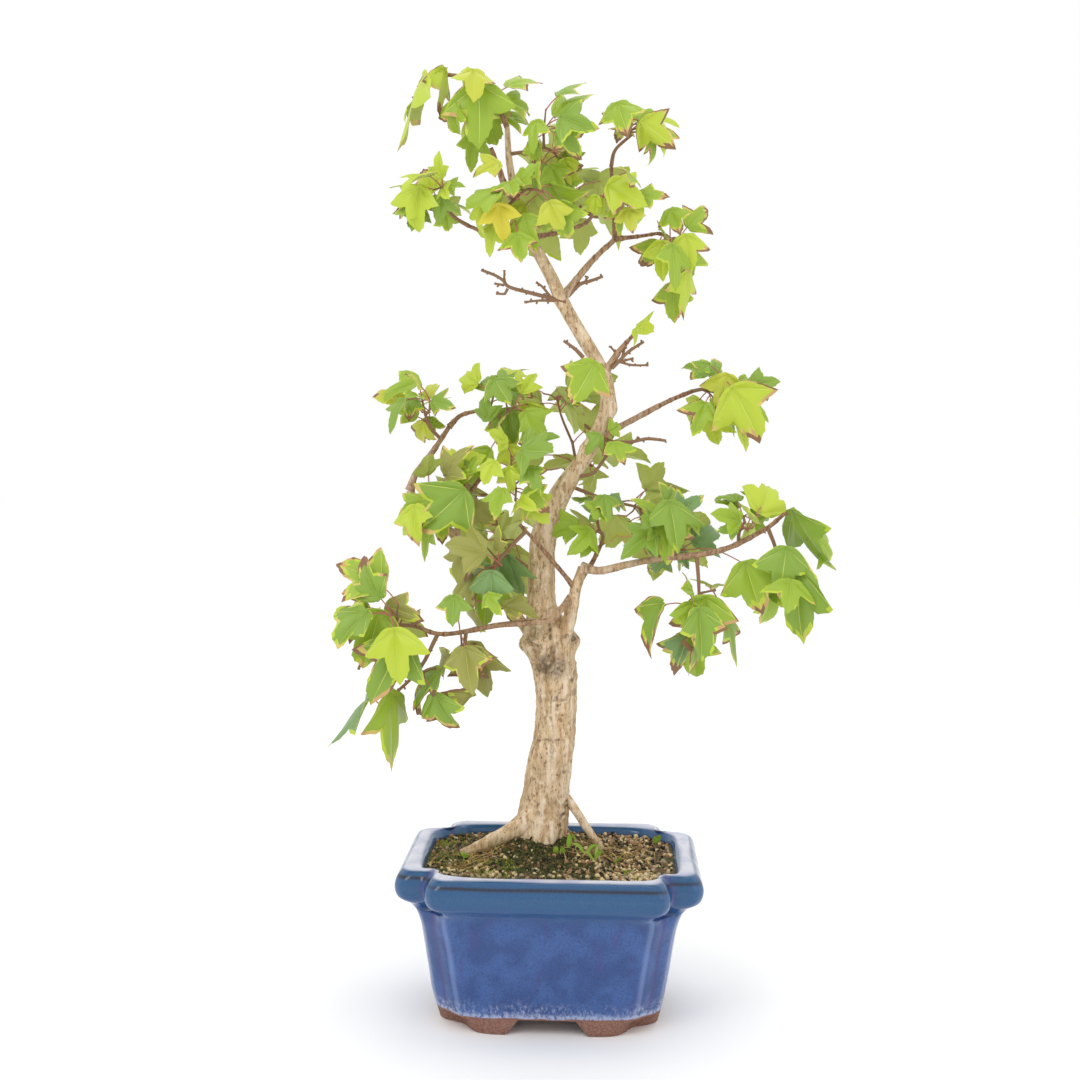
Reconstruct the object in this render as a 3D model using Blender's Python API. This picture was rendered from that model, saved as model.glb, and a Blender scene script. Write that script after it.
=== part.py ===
"""Trident maple bonsai in a glazed rectangular pot, as named closed solids.

Sizes are in millimetres; meshes are made in metres, +Z up, the front of the pot at -Y.
The pot stands on Z = 0. A trunk and its boughs are tapering tubes along curves. Each mass of
foliage keeps to its own space: twigs branch from one stem and carry three-lobed leaves.
"""
import math
import random
from collections import namedtuple

import bmesh
import bpy
import numpy as np
from mathutils import Vector

MM = 0.001
CLEAR = 0.3                    # gap between neighbouring solids
WELD = 0.000002                # metres: points nearer than this are one point

# ---- pot ----------------------------------------------------------------------------------
POT_HALF_WIDTH = 90.0
POT_HALF_DEPTH = 75.0
POT_HEIGHT = 97.0
NOTCH = 19.5                   # side of the square stepped out of each corner
CORNER_ROUND = 8.0             # rounding of the two convex edges of a corner
CREASE_ROUND = 5.0             # rounding of the inner crease
ARC_STEPS = 2
# inset from the widest outline, and height, from the foot's outer edge up over the lip
POT_OUTSIDE = [(23.2, 0.0), (22.4, 9.0), (21.5, 12.0), (19.6, 22.0), (16.5, 44.0),
               (13.6, 62.0), (10.0, 71.0), (3.4, 76.5), (0.7, 81.0), (0.0, 87.0),
               (1.2, 92.5), (4.2, 96.2), (7.5, 97.0)]
POT_INSIDE = [(13.0, 96.4), (15.6, 93.0), (17.5, 80.0), (30.0, 18.0)]
FLOOR_TOP = 18.0
FLOOR_BELOW = 10.5             # underside of the floor, above the ground
FOOT_WALL = 10.0
FOOT_GAP_LOW = 24.0            # half width of the gap between two feet, at the ground
FOOT_GAP_HIGH = 16.0           # and at its top
FOOT_GAP_HEIGHT = 9.8
DRAIN_RADIUS = 7.0
DRAIN_OFFSET = 26.0

# ---- soil ---------------------------------------------------------------------------------
SOIL_LEVEL = 92.5
SOIL_FRONT_RISE = 2.0
MOUND_HEIGHT = 15.5
MOUND_RADIUS = 34.0
SOIL_RINGS = 6

# ---- trunk --------------------------------------------------------------------------------
GROUND_CUT = 103.0
TRUNK = [(-7, 6, 103, 18.5), (-5, 6, 112, 16.0), (-4, 6, 126, 14.8), (-2, 5, 148, 13.7),
         (1, 4, 168, 12.7), (2, 4, 190, 12.4), (0, 4, 208, 13.2), (-3, 5, 224, 14.0),
         (-6, 6, 237, 11.6), (-8, 6, 250, 8.6), (-8, 6, 272, 8.1), (-6, 5, 292, 7.8),
         (4, 2, 316, 6.2), (20, 1, 341, 4.6), (30, 4, 364, 4.7), (30, 7, 380, 4.3),
         (24, 8, 394, 4.1), (6, 8, 424, 3.9), (-5, 7, 446, 3.7), (-22, 6, 478, 3.0),
         (-29, 4, 508, 2.2), (-31, 2, 532, 1.5)]
TRUNK_SIDES = 10
TRUNK_STEPS = 2                # rings between two rows of the trunk
FLARE_HEIGHT = 9.0
FLARE = 0.30                   # how far the flared foot swells, as a share of the radius
# burls and knots: angle round the trunk from +X, height, how far it stands out, half height
BURLS = [(188, 226, 4.6, 6.0), (12, 222, 5.2, 6.5), (250, 216, 2.4, 7.0), (95, 222, 3.0, 7.0),
         (150, 341, 1.6, 4.0), (0, 366, 1.8, 4.0), (200, 432, 1.4, 4.0)]
ROOTS = {
    "left": [(-10, 0, 116, 7.5), (-24, -4, 107, 5.6), (-42, -9, 100.5, 4.2), (-60, -14, 95, 2.6)],
    "right": [(6, 4, 126, 5.0), (17, 2, 119, 3.6), (26, 0, 108, 3.2), (36, -3, 96, 2.4)],
    "front": [(-6, -4, 110, 5.5), (-8, -14, 106, 4.2), (-9, -22, 99, 2.4)],
    "back": [(-2, 14, 110, 6.0), (5, 26, 103, 3.8), (11, 37, 95, 2.4)],
}
ROOT_SIDES = 7

# ---- boughs: control points, radius at the root and at the tip ------------------------------
Limb = namedtuple("Limb", "name points root tip")
LIMBS = [
    Limb("spur", [(3, 0, 222), (8, -6, 234), (13, -8, 257), (17, -9, 271)], 4.6, 2.7),
    Limb("right_low_bough", [(17, -9, 271), (29, -14, 270), (56, -22, 277), (96, -26, 283),
                             (122, -30, 296), (134, -32, 306)], 2.4, 1.2),
    Limb("left_low_bough", [(10, -7, 252), (4, -18, 246), (-4, -21, 240), (-31, -28, 238),
                            (-63, -34, 233), (-80, -38, 238)], 2.0, 1.2),
    Limb("left_mid_bough", [(-12, 5, 224), (-23, 4, 241), (-36, 7, 256), (-60, 12, 286),
                            (-84, 16, 304), (-90, 17, 315)], 3.4, 2.3),
    Limb("left_mid_rise", [(-90, 17, 315), (-86, 20, 326), (-77, 24, 338), (-67, 28, 354)],
         2.1, 1.5),
    Limb("left_mid_crown_bough", [(-67, 28, 354), (-60, 30, 361), (-50, 32, 364)], 1.4, 1.1),
    Limb("left_mid_side", [(-61, 12, 288), (-55, 3, 309), (-46, -4, 322)], 1.9, 1.2),
    Limb("front_twig", [(13, -8, 258), (2, -15, 272), (-8, -19, 284), (-20, -22, 297)],
         1.5, 1.0),
    Limb("broom", [(14, -8, 262), (22, 0, 272), (28, 6, 284)], 1.8, 1.2),
    Limb("mid_right_bough", [(27, 4, 349), (40, 10, 356), (66, 16, 370), (82, 20, 377)],
         2.1, 1.2),
    Limb("right_stub", [(29, 8, 388), (37, 4, 400), (44, 1, 408)], 2.2, 1.2),
    Limb("upper_right_bough", [(3, 8, 432), (19, 12, 453), (34, 16, 468)], 2.3, 1.6),
    Limb("upper_right_rise", [(34, 16, 468), (33, 14, 488), (31, 11, 510)], 1.3, 1.0),
    Limb("upper_right_side", [(34, 16, 468), (49, 18, 470), (60, 20, 472)], 1.3, 1.0),
    Limb("top_left_bough", [(-18, 4, 468), (-34, -5, 466), (-52, -10, 472)], 1.5, 1.1),
    Limb("top_left_twig", [(-31, 2, 532), (-38, 2, 545), (-55, 2, 560), (-74, 3, 563)], 1.3, 1.0),
    Limb("top_right_bough", [(-16, 8, 468), (3, 14, 472), (16, 22, 478)], 1.5, 1.0),
    Limb("dead_stub", [(-26, 5, 488), (-33, 0, 500), (-40, -3, 519)], 2.3, 1.2),
    Limb("back_bough", [(-4, 8, 302), (4, 30, 314), (10, 52, 322)], 2.6, 1.4),
    Limb("back_low_bough", [(-6, 8, 262), (-14, 32, 264), (-26, 54, 270)], 2.2, 1.3),
]
BOUGH_SIDES = 5
BOUGH_STEPS = 2                # rings between two control points

# ---- foliage masses -----------------------------------------------------------------------
# at: share of the limb's length where the stem starts; leaf: length of a blade
Mass = namedtuple("Mass", "name limb at centre radii twigs leaves leaf seed")
MASSES = [
    Mass("crown_high_left", "top_left_twig", 0.5, (-46, 2, 541), (32, 26, 24), 2, 7, 34, 4),
    Mass("crown_edge_leaf", "top_left_twig", 1.0, (-89, 2, 543), (12, 18, 24), 0, 2, 40, 101),
    Mass("crown_high_mid", "trunk", 0.965, (-2, -4, 520), (28, 26, 26), 2, 7, 27, 117),
    Mass("crown_high_right", "upper_right_rise", 1.0, (46, 6, 533), (23, 24, 17), 2, 7, 26, 27),
    Mass("crown_mid_right", "upper_right_rise", 0.45, (40, -12, 492), (22, 24, 17), 1, 5, 26, 10),
    Mass("crown_right", "upper_right_side", 1.0, (71, 14, 456), (21, 24, 32), 2, 7, 33, 160),
    Mass("crown_left", "top_left_bough", 1.0, (-73, -14, 491), (24, 24, 19), 2, 7, 24, 114),
    Mass("crown_front", "dead_stub", 0.35, (-24, -28, 482), (30, 22, 26), 3, 8, 29, 64),
    Mass("crown_back", "top_right_bough", 1.0, (2, 54, 500), (40, 30, 32), 2, 7, 32, 8),
    Mass("sprig", "right_stub", 1.0, (54, -4, 415), (14, 15, 12), 0, 1, 27, 17),
    Mass("trunk_leaf", "trunk", 0.63, (18, -18, 382), (22, 16, 18), 0, 1, 40, 176),
    Mass("mid_right_tuft", "mid_right_bough", 1.0, (105, 20, 375), (26, 24, 23), 2, 6, 31, 157),
    Mass("mid_left_top", "left_mid_rise", 0.8, (-84, 22, 366), (22, 22, 18), 2, 6, 24, 171),
    Mass("mid_left_crest", "left_mid_crown_bough", 1.0, (-34, 32, 364), (28, 26, 28), 3, 8, 28, 41),
    Mass("mid_left_low", "left_mid_bough", 0.9, (-66, -6, 317), (30, 26, 30), 3, 8, 36, 104),
    Mass("mid_front", "left_mid_side", 1.0, (-20, -24, 326), (27, 22, 22), 2, 7, 27, 41),
    Mass("mid_left_under", "front_twig", 0.9, (-42, -22, 264), (25, 20, 30), 2, 7, 34, 49),
    Mass("trunk_right_tuft", "trunk", 0.50, (36, -8, 341), (18, 18, 15), 1, 3, 25, 141),
    Mass("right_inner", "broom", 1.0, (26, -4, 296), (21, 20, 18), 2, 5, 27, 58),
    Mass("right_mid", "right_low_bough", 0.42, (66, -12, 292), (28, 24, 22), 2, 7, 31, 121),
    Mass("right_outer", "right_low_bough", 0.75, (113, -22, 304), (21, 22, 18), 2, 6, 29, 109),
    Mass("right_tip", "right_low_bough", 1.0, (151, -34, 287), (15, 20, 26), 0, 2, 46, 106),
    Mass("right_hang", "right_low_bough", 0.9, (132, -32, 262), (18, 24, 34), 1, 4, 38, 173),
    Mass("right_low", "right_low_bough", 0.55, (86, -34, 245), (27, 24, 34), 2, 7, 42, 160),
    Mass("left_low_tip", "left_low_bough", 1.0, (-100, -42, 232), (30, 26, 35), 3, 9, 48, 18),
    Mass("left_low_drop", "left_low_bough", 0.86, (-108, -38, 180), (19, 18, 30), 0, 2, 42, 310),
    Mass("left_low_mid", "left_low_bough", 0.7, (-60, -36, 208), (26, 22, 36), 2, 6, 34, 48),
    Mass("back_high", "back_bough", 1.0, (8, 66, 352), (38, 28, 34), 2, 7, 30, 54),
    Mass("back_right", "back_bough", 0.75, (66, 56, 300), (34, 30, 30), 2, 7, 36, 16),
    Mass("back_low", "back_low_bough", 1.0, (-44, 66, 270), (38, 28, 34), 2, 7, 36, 90),
    Mass("bare_upper_left", "trunk", 0.757, (-32, 2, 440), (26, 16, 11), 4, 0, 0, 1),
    Mass("bare_upper_right", "upper_right_bough", 0.45, (26, 10, 440), (12, 12, 9), 1, 0, 0, 1),
    Mass("bare_stub", "right_stub", 0.55, (50, 6, 392), (12, 12, 9), 2, 0, 0, 1),
    Mass("bare_mid_right", "mid_right_bough", 0.2, (58, 4, 352), (14, 10, 8), 1, 0, 0, 1),
    Mass("bare_node_left", "trunk", 0.515, (8, -2, 356), (12, 12, 9), 1, 0, 0, 1),
]
REACH = 1.6                    # how far past its ellipsoid a mass may reach
CELL_GAP = 0.05                # share of a radius left free along the border of two spaces
STEM_RADIUS = 1.45
STEM_TIP_RADIUS = 1.15
TWIG_RADIUS = 0.9
TIP_RADIUS = 0.85
TWIG_SIDES = 4
STALK_WIDTH = 1.2
STALK_ROOT = 0.5               # width and thickness of the stalk inside its twig
NODE_STEP = 1.8                # between the roots of two leaves on a twig
LEAF_THICKNESS = 0.8
LIMB_MARGIN = 2.2              # from a blade's points to a limb's surface
TWIG_MARGIN = 1.0              # from a twig's axis to a limb's surface, beyond its own radius
BLADE_MARGIN = 3.0             # between the points of two blades
TRIES = 40                     # for one leaf, each turned and sized afresh
SPARE = 0.7                    # places tried beyond the wanted leaves, as a share of them
# half of a blade, from its base to its tip: along and across, as shares of its length
BLADE_EDGE = [(0.0, 0.0), (0.03, 0.30), (0.56, 0.50), (0.50, 0.21), (1.0, 0.0)]


# ---- base colours, linear ------------------------------------------------------------------
GLAZE_BLUE = (0.05, 0.13, 0.36, 1.0)
SOIL_BROWN = (0.09, 0.08, 0.03, 1.0)
OLD_BARK = (0.42, 0.33, 0.24, 1.0)
YOUNG_BARK = (0.36, 0.26, 0.18, 1.0)
LEAF_GREEN = (0.22, 0.42, 0.06, 1.0)


# ==== curves and solids ======================================================================

def unit(vector):
    """The vector divided by its length."""
    vector = np.asarray(vector, float)
    return vector / max(np.linalg.norm(vector), 1e-9)


def smooth_path(rows, steps):
    """Catmull-Rom curve through rows of numbers, with steps spans between two rows."""
    rows = np.asarray(rows, float)
    ends = np.vstack([2 * rows[0] - rows[1], rows, 2 * rows[-1] - rows[-2]])
    out = []
    for i in range(1, len(ends) - 2):
        a, b, c, d = ends[i - 1:i + 3]
        for t in np.arange(steps) / steps:
            out.append(0.5 * (2 * b + (c - a) * t + (2 * a - 5 * b + 4 * c - d) * t ** 2
                              + (3 * b - a - 3 * c + d) * t ** 3))
    out.append(rows[-1])
    return np.array(out)


def bend(start, pull, end, count):
    """Quadratic curve from start to end, drawn towards pull: count points."""
    t = np.linspace(0, 1, count)[:, None]
    return (1 - t) ** 2 * start + 2 * t * (1 - t) * pull + t ** 2 * end


def frames(path):
    """Two unit vectors across the path at each point, carried along it without twist."""
    tangents = np.gradient(path, axis=0)
    side = np.cross(unit(tangents[0]), (0.0, 1.0, 0.0))
    if np.linalg.norm(side) < 0.1:
        side = np.cross(unit(tangents[0]), (1.0, 0.0, 0.0))
    out = []
    for tangent in tangents:
        tangent = unit(tangent)
        side = unit(side - tangent * np.dot(side, tangent))
        out.append((side, np.cross(tangent, side)))
    return out


def tube(path, radii, sides):
    """Closed tube: rings of points round the path, and two flat ends. Returns points, faces."""
    angles = np.arange(sides) * 2 * math.pi / sides
    rings = []
    for point, radius, (one, two) in zip(path, radii, frames(path)):
        shape = radius if np.ndim(radius) else np.full(sides, radius)
        rings.append(point + (shape * np.cos(angles))[:, None] * one
                     + (shape * np.sin(angles))[:, None] * two)
    points = np.concatenate(rings)
    faces = ring_faces(len(path), sides)
    faces.append(list(range(sides))[::-1])
    faces.append([(len(path) - 1) * sides + i for i in range(sides)])
    return points, faces


def ring_faces(rings, sides):
    """Quads between neighbouring rings of a loft."""
    faces = []
    for r in range(rings - 1):
        for i in range(sides):
            j = (i + 1) % sides
            faces.append([r * sides + i, r * sides + j, (r + 1) * sides + j, (r + 1) * sides + i])
    return faces


def make_object(name, points, faces):
    """A closed mesh object from millimetre points, with its faces turned outwards."""
    mesh = bpy.data.meshes.new(name)
    mesh.from_pydata((np.asarray(points) * MM).tolist(), [], faces)
    bm = bmesh.new()
    bm.from_mesh(mesh)
    bmesh.ops.recalc_face_normals(bm, faces=bm.faces)
    bmesh.ops.triangulate(bm, faces=[f for f in bm.faces if len(f.verts) > 4])
    bm.to_mesh(mesh)
    bm.free()
    obj = bpy.data.objects.new(name, mesh)
    bpy.context.scene.collection.objects.link(obj)
    return obj


def combine(obj, others, operation):
    """Apply one Boolean of obj with every object in others, then remove the others."""
    if not others:
        return obj
    group = bpy.data.collections.new(obj.name + "_operands")
    for other in others:
        group.objects.link(other)
    modifier = obj.modifiers.new("combine", "BOOLEAN")
    modifier.operation = operation
    modifier.operand_type = "COLLECTION"
    modifier.collection = group
    modifier.solver = "EXACT"
    depsgraph = bpy.context.evaluated_depsgraph_get()
    mesh = bpy.data.meshes.new_from_object(obj.evaluated_get(depsgraph))
    obj.modifiers.clear()
    obj.data = mesh
    for other in others:
        bpy.data.objects.remove(other)
    bpy.data.collections.remove(group)
    return obj


def clean(obj):
    """Weld doubles and keep only the largest body, of faces that share edges."""
    bm = bmesh.new()
    bm.from_mesh(obj.data)
    bmesh.ops.remove_doubles(bm, verts=bm.verts, dist=WELD)
    bmesh.ops.dissolve_degenerate(bm, dist=WELD, edges=bm.edges)
    bmesh.ops.triangulate(bm, faces=bm.faces)
    unseen = set(bm.faces)
    bodies = []
    while unseen:
        stack = [unseen.pop()]
        body = list(stack)
        while stack:
            for edge in stack.pop().edges:
                for face in edge.link_faces:
                    if face in unseen:
                        unseen.discard(face)
                        body.append(face)
                        stack.append(face)
        bodies.append(body)
    bodies.sort(key=len)
    for body in bodies[:-1]:
        bmesh.ops.delete(bm, geom=body, context="FACES")
    bm.to_mesh(obj.data)
    bm.free()
    return len(bodies) - 1


def paint(obj, name, colour, roughness, metallic=0.0):
    """Give the object its own Principled material."""
    material = bpy.data.materials.new(name)
    material.use_nodes = True
    shader = material.node_tree.nodes["Principled BSDF"]
    shader.inputs["Base Color"].default_value = colour
    shader.inputs["Roughness"].default_value = roughness
    shader.inputs["Metallic"].default_value = metallic
    obj.data.materials.clear()
    obj.data.materials.append(material)


# ==== pot and soil ===========================================================================

def arc(centre, radius, start, end):
    """Points of an arc, angles in degrees, both ends included."""
    angles = np.radians(np.linspace(start, end, ARC_STEPS + 1))
    return [(centre[0] + radius * math.cos(a), centre[1] + radius * math.sin(a)) for a in angles]


def pot_outline(inset, notch=NOTCH, convex=CORNER_ROUND, crease=CREASE_ROUND):
    """Rectangle with a square stepped out of each corner, drawn inset from the widest outline."""
    x = POT_HALF_WIDTH - inset
    y = POT_HALF_DEPTH - inset
    quarter = arc((x - convex, y - notch - convex), convex, 0, 90)
    quarter += arc((x - notch + crease, y - notch + crease), crease, 270, 180)
    quarter += arc((x - notch - convex, y - convex), convex, 0, 90)
    left = [(-px, py) for px, py in quarter[::-1]]
    below = [(px, -py) for px, py in (quarter + left)[::-1]]
    return np.array(quarter + left + below)


def pot_ring(inset, height, **shape):
    """One ring of the pot's loft at a height."""
    outline = pot_outline(inset, **shape)
    return np.column_stack([outline, np.full(len(outline), height)])


INNER_SHAPE = {"notch": 13.0, "convex": 7.0, "crease": 6.0}


def build_pot():
    """Loft from the foot over the lip to the inner floor, then cut the feet and drains."""
    rings = [pot_ring(POT_OUTSIDE[0][0] + FOOT_WALL + 1.0, FLOOR_BELOW),
             pot_ring(POT_OUTSIDE[0][0] + FOOT_WALL, 0.0)]
    rings += [pot_ring(inset, z) for inset, z in POT_OUTSIDE]
    rings += [pot_ring(inset, z, **INNER_SHAPE) for inset, z in POT_INSIDE]
    sides = len(rings[0])
    faces = ring_faces(len(rings), sides)
    faces.append(list(range(sides)))
    faces.append([(len(rings) - 1) * sides + i for i in range(sides)])
    pot = make_object("pot", np.concatenate(rings), faces)
    cutters = []
    for axis in (0, 1):
        section = [(-FOOT_GAP_LOW - 1.2, -1.0), (FOOT_GAP_LOW + 1.2, -1.0),
                   (FOOT_GAP_HIGH, FOOT_GAP_HEIGHT), (-FOOT_GAP_HIGH, FOOT_GAP_HEIGHT)]
        points = []
        for run in (-110.0, 110.0):
            for across, z in section:
                points.append((across, run, z) if axis == 0 else (run, across, z))
        cutters.append(make_object("foot_gap", points, ring_faces(2, 4) + [[3, 2, 1, 0],
                                                                           [4, 5, 6, 7]]))
    for side in (-1, 1):
        path = np.array([(side * DRAIN_OFFSET, 0, z) for z in (FLOOR_BELOW - 3, FLOOR_TOP + 3)])
        cutters.append(make_object("drain", *tube(path, [DRAIN_RADIUS] * 2, 12)))
    combine(pot, cutters, "DIFFERENCE")
    paint(pot, "pot_glazed_stoneware", GLAZE_BLUE, 0.2)
    return pot


def inner_inset(height):
    """Inset of the pot's inner wall at a height."""
    insets, heights = zip(*POT_INSIDE[::-1])
    return float(np.interp(height, heights, insets))


def soil_height(x, y):
    """Soil level: a low slope to the front and a mound round the trunk's foot."""
    centre = np.array(TRUNK[0][:2])
    away = np.hypot(x - centre[0], y - centre[1])
    mound = MOUND_HEIGHT * math.exp(-(away / MOUND_RADIUS) ** 2)
    ripple = 0.8 * math.sin(0.17 * x + 1.3) * math.cos(0.21 * y)
    return SOIL_LEVEL - SOIL_FRONT_RISE * y / POT_HALF_DEPTH * 0.8 + mound + ripple


def build_soil(trunk_clear):
    """Filling of the pot up to a mounded top, with a socket for the trunk and its roots."""
    rings = [pot_ring(inner_inset(FLOOR_TOP + CLEAR) + 1.0, FLOOR_TOP + CLEAR, **INNER_SHAPE),
             pot_ring(inner_inset(80.0) + CLEAR, 80.0, **INNER_SHAPE)]
    rim = pot_ring(inner_inset(SOIL_LEVEL) + CLEAR + 0.1, SOIL_LEVEL, **INNER_SHAPE)
    centre = np.array(TRUNK[0][:2])
    for k in range(SOIL_RINGS):
        share = 1.0 - k / SOIL_RINGS
        ring = rim.copy()
        ring[:, :2] = centre + (rim[:, :2] - centre) * share
        ring[:, 2] = [soil_height(x, y) for x, y, _ in ring]
        rings.append(ring)
    points = np.concatenate(rings + [[(centre[0], centre[1], soil_height(*centre))]])
    sides = len(rim)
    last = (len(rings) - 1) * sides
    faces = ring_faces(len(rings), sides)
    faces.append(list(range(sides))[::-1])
    faces += [[last + i, last + (i + 1) % sides, len(points) - 1] for i in range(sides)]
    soil = make_object("soil", points, faces)
    combine(soil, [trunk_clear], "DIFFERENCE")
    clean(soil)
    paint(soil, "soil_and_moss", SOIL_BROWN, 0.95)
    return soil


# ==== trunk and boughs =======================================================================

def trunk_rows(steps):
    """The trunk's curve: x, y, z and radius at each ring."""
    return smooth_path(TRUNK, steps)


def trunk_profile(row, angles):
    """Radius round one ring: taper, the flared foot with its root ridges, and the burls."""
    radius = np.full(len(angles), row[3])
    flare = FLARE * math.exp(-max(row[2] - GROUND_CUT, 0.0) / FLARE_HEIGHT)
    radius *= 1.0 + flare * (0.45 + 0.55 * np.cos(2.5 * angles + 0.6) ** 2)
    for direction, height, stand, half in BURLS:
        turn = (angles - math.radians(direction) + math.pi) % (2 * math.pi) - math.pi
        radius += stand * np.exp(-(turn / 0.6) ** 2 - ((row[2] - height) / half) ** 2)
    return radius


def trunk_tube(grow):
    """The trunk as rings across its path, level at the foot, widened by grow all round."""
    rows = trunk_rows(TRUNK_STEPS)
    rows[0, 2] -= grow
    angles = np.arange(TRUNK_SIDES) * 2 * math.pi / TRUNK_SIDES
    tangents = np.gradient(rows[:, :3], axis=0)
    rings = []
    for row, tangent in zip(rows, tangents):
        tangent = unit(tangent) if row[2] > GROUND_CUT + 8 else np.array([0.0, 0.0, 1.0])
        one = unit(np.cross((0.0, 1.0, 0.0), tangent))
        two = np.cross(tangent, one)
        radius = trunk_profile(row, angles) + grow
        rings.append(row[:3] + (radius * np.cos(angles))[:, None] * one
                     + (radius * np.sin(angles))[:, None] * two)
    rings[-1] = rings[-1] + unit(tangents[-1]) * grow
    faces = ring_faces(len(rings), TRUNK_SIDES)
    faces.append(list(range(TRUNK_SIDES))[::-1])
    faces.append([(len(rings) - 1) * TRUNK_SIDES + i for i in range(TRUNK_SIDES)])
    return np.concatenate(rings), faces


def build_trunk(name="trunk", grow=0.0):
    """Trunk with its surface roots fused on; grow widens everything for a clearance cut."""
    trunk = make_object(name, *trunk_tube(grow))
    roots = []
    for key, rows in ROOTS.items():
        rows = smooth_path(rows, TRUNK_STEPS)
        roots.append(make_object("root_" + key, *tube(rows[:, :3], rows[:, 3] + grow,
                                                      ROOT_SIDES)))
    combine(trunk, roots, "UNION")
    clean(trunk)
    if grow == 0.0:
        paint(trunk, "maple_bark", OLD_BARK, 0.85)
    return trunk


def limb_path(name, steps):
    """Points and radii along a limb or the trunk."""
    if name == "trunk":
        rows = trunk_rows(steps)
        return rows[:, :3], rows[:, 3]
    limb = next(one for one in LIMBS if one.name == name)
    path = smooth_path(limb.points, steps)
    run = np.concatenate([[0], np.cumsum(np.linalg.norm(np.diff(path, axis=0), axis=1))])
    return path, limb.root + (limb.tip - limb.root) * run / run[-1]


def limb_solid(name, grow=0.0):
    """A bough as a tapering tube; grow widens it and lengthens both ends."""
    path, radii = limb_path(name, BOUGH_STEPS)
    path = path.copy()
    path[-1] += unit(path[-1] - path[-2]) * grow
    path[0] -= unit(path[1] - path[0]) * grow
    return make_object(name, *tube(path, radii + grow, BOUGH_SIDES))


def limb_distance(one, two):
    """Least gap between the surfaces of two limbs, from points along both."""
    path_a, radii_a = limb_path(one, 8)
    path_b, radii_b = limb_path(two, 8)
    gaps = np.linalg.norm(path_a[:, None] - path_b[None], axis=2) - radii_a[:, None] - radii_b
    return gaps.min()


def build_limbs():
    """Every bough, cut 0.3 mm clear of the trunk and of the boughs made before it."""
    made = ["trunk"]
    for limb in LIMBS:
        obj = limb_solid(limb.name)
        cutters = []
        for other in made:
            if limb_distance(limb.name, other) < 3.0:
                cutters.append(build_trunk("clear", CLEAR) if other == "trunk"
                               else limb_solid(other, CLEAR))
        combine(obj, cutters, "DIFFERENCE")
        clean(obj)
        paint(obj, limb.name + "_bark", YOUNG_BARK, 0.85)
        made.append(limb.name)


# ==== growth of a foliage mass ===============================================================

def segments_of(path, radii, owner):
    """A polyline as rows of start, end, mean radius and owner."""
    return [(path[i], path[i + 1], max(radii[i], radii[i + 1]), owner)
            for i in range(len(path) - 1)]


class Obstacles:
    """Limbs and stems as capsules, and the distance of points to them."""

    def __init__(self, rows):
        self.rows = rows
        self.start = np.array([row[0] for row in rows])
        self.run = np.array([row[1] for row in rows]) - self.start
        self.square = np.maximum((self.run ** 2).sum(1), 1e-9)
        self.radius = np.array([row[2] for row in rows])
        self.owner = np.array([row[3] for row in rows])

    def around(self, mass):
        """Only the capsules that come near a mass, without its own stem."""
        reach = REACH * max(mass.radii) + 12.0
        middle = self.start + self.run / 2
        away = np.linalg.norm(middle - np.array(mass.centre), axis=1)
        keep = (away < reach + np.sqrt(self.square) / 2 + self.radius) & (self.owner != mass.name)
        keep[0] = True
        return Obstacles([row for row, kept in zip(self.rows, keep) if kept])

    def clearance(self, points):
        """Least gap from the points to the capsules."""
        away = points[:, None] - self.start[None]
        along = np.clip((away * self.run).sum(2) / self.square, 0, 1)
        near = away - along[:, :, None] * self.run
        return (np.linalg.norm(near, axis=2) - self.radius).min()


def measure(points, mass):
    """Distance from the mass's middle, in shares of its radii."""
    return np.linalg.norm((points - np.array(mass.centre)) / np.array(mass.radii), axis=-1)


def in_space(points, mass, reach=REACH):
    """True when the points belong to this mass and to no other."""
    own = measure(points, mass)
    others = np.min([measure(points, other) for other in MASSES if other.name != mass.name], axis=0)
    return bool(np.all(own < reach) and np.all(own < others - CELL_GAP))


def stem_path(mass):
    """The stem: from the axis of its limb towards the middle of the mass."""
    path, radii = limb_path(mass.limb, 8)
    run = np.concatenate([[0], np.cumsum(np.linalg.norm(np.diff(path, axis=0), axis=1))])
    target = mass.at * run[-1]
    start = np.array([np.interp(target, run, path[:, i]) for i in range(3)])
    index = min(int(np.searchsorted(run, target)), len(path) - 1)
    along = unit(path[index] - path[max(index - 1, 0)])
    centre = np.array(mass.centre, float)
    aim = centre - start
    if mass.at < 0.999:
        leave = unit(aim - along * np.dot(aim, along) * 0.75)
    else:
        leave = along
    end = start + aim * 0.8
    pull = start + leave * (radii[index] + 0.35 * np.linalg.norm(aim))
    return bend(start, pull, end, 3)


def blade_points(blade, along, across):
    """Places on a blade: a shallow V along the midrib, drooping to the tip and side lobes."""
    base, axis, side, normal, size, fold, droop = blade
    along = np.asarray(along, float)
    across = np.asarray(across, float)
    lift = fold * np.abs(across) - droop * along ** 2 - 0.5 * droop * across ** 2
    return (base + size * (along[..., None] * axis + across[..., None] * side
                           + lift[..., None] * normal))


def blade_samples(blade):
    """Points spread over a blade, for its clearances."""
    edge = BLADE_EDGE + [(a, -b) for a, b in BLADE_EDGE[-2:0:-1]]
    fine = []
    for (a, b), (c, d) in zip(edge, edge[1:] + edge[:1]):
        fine += [(a + (c - a) * t, b + (d - b) * t) for t in (0.0, 0.33, 0.67)]
    fine = np.array(fine)
    middle = np.array((0.42, 0.0))
    spots = np.concatenate([middle + (fine - middle) * share for share in (1.0, 0.7, 0.4, 0.1)])
    return blade_points(blade, spots[:, 0], spots[:, 1])


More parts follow.
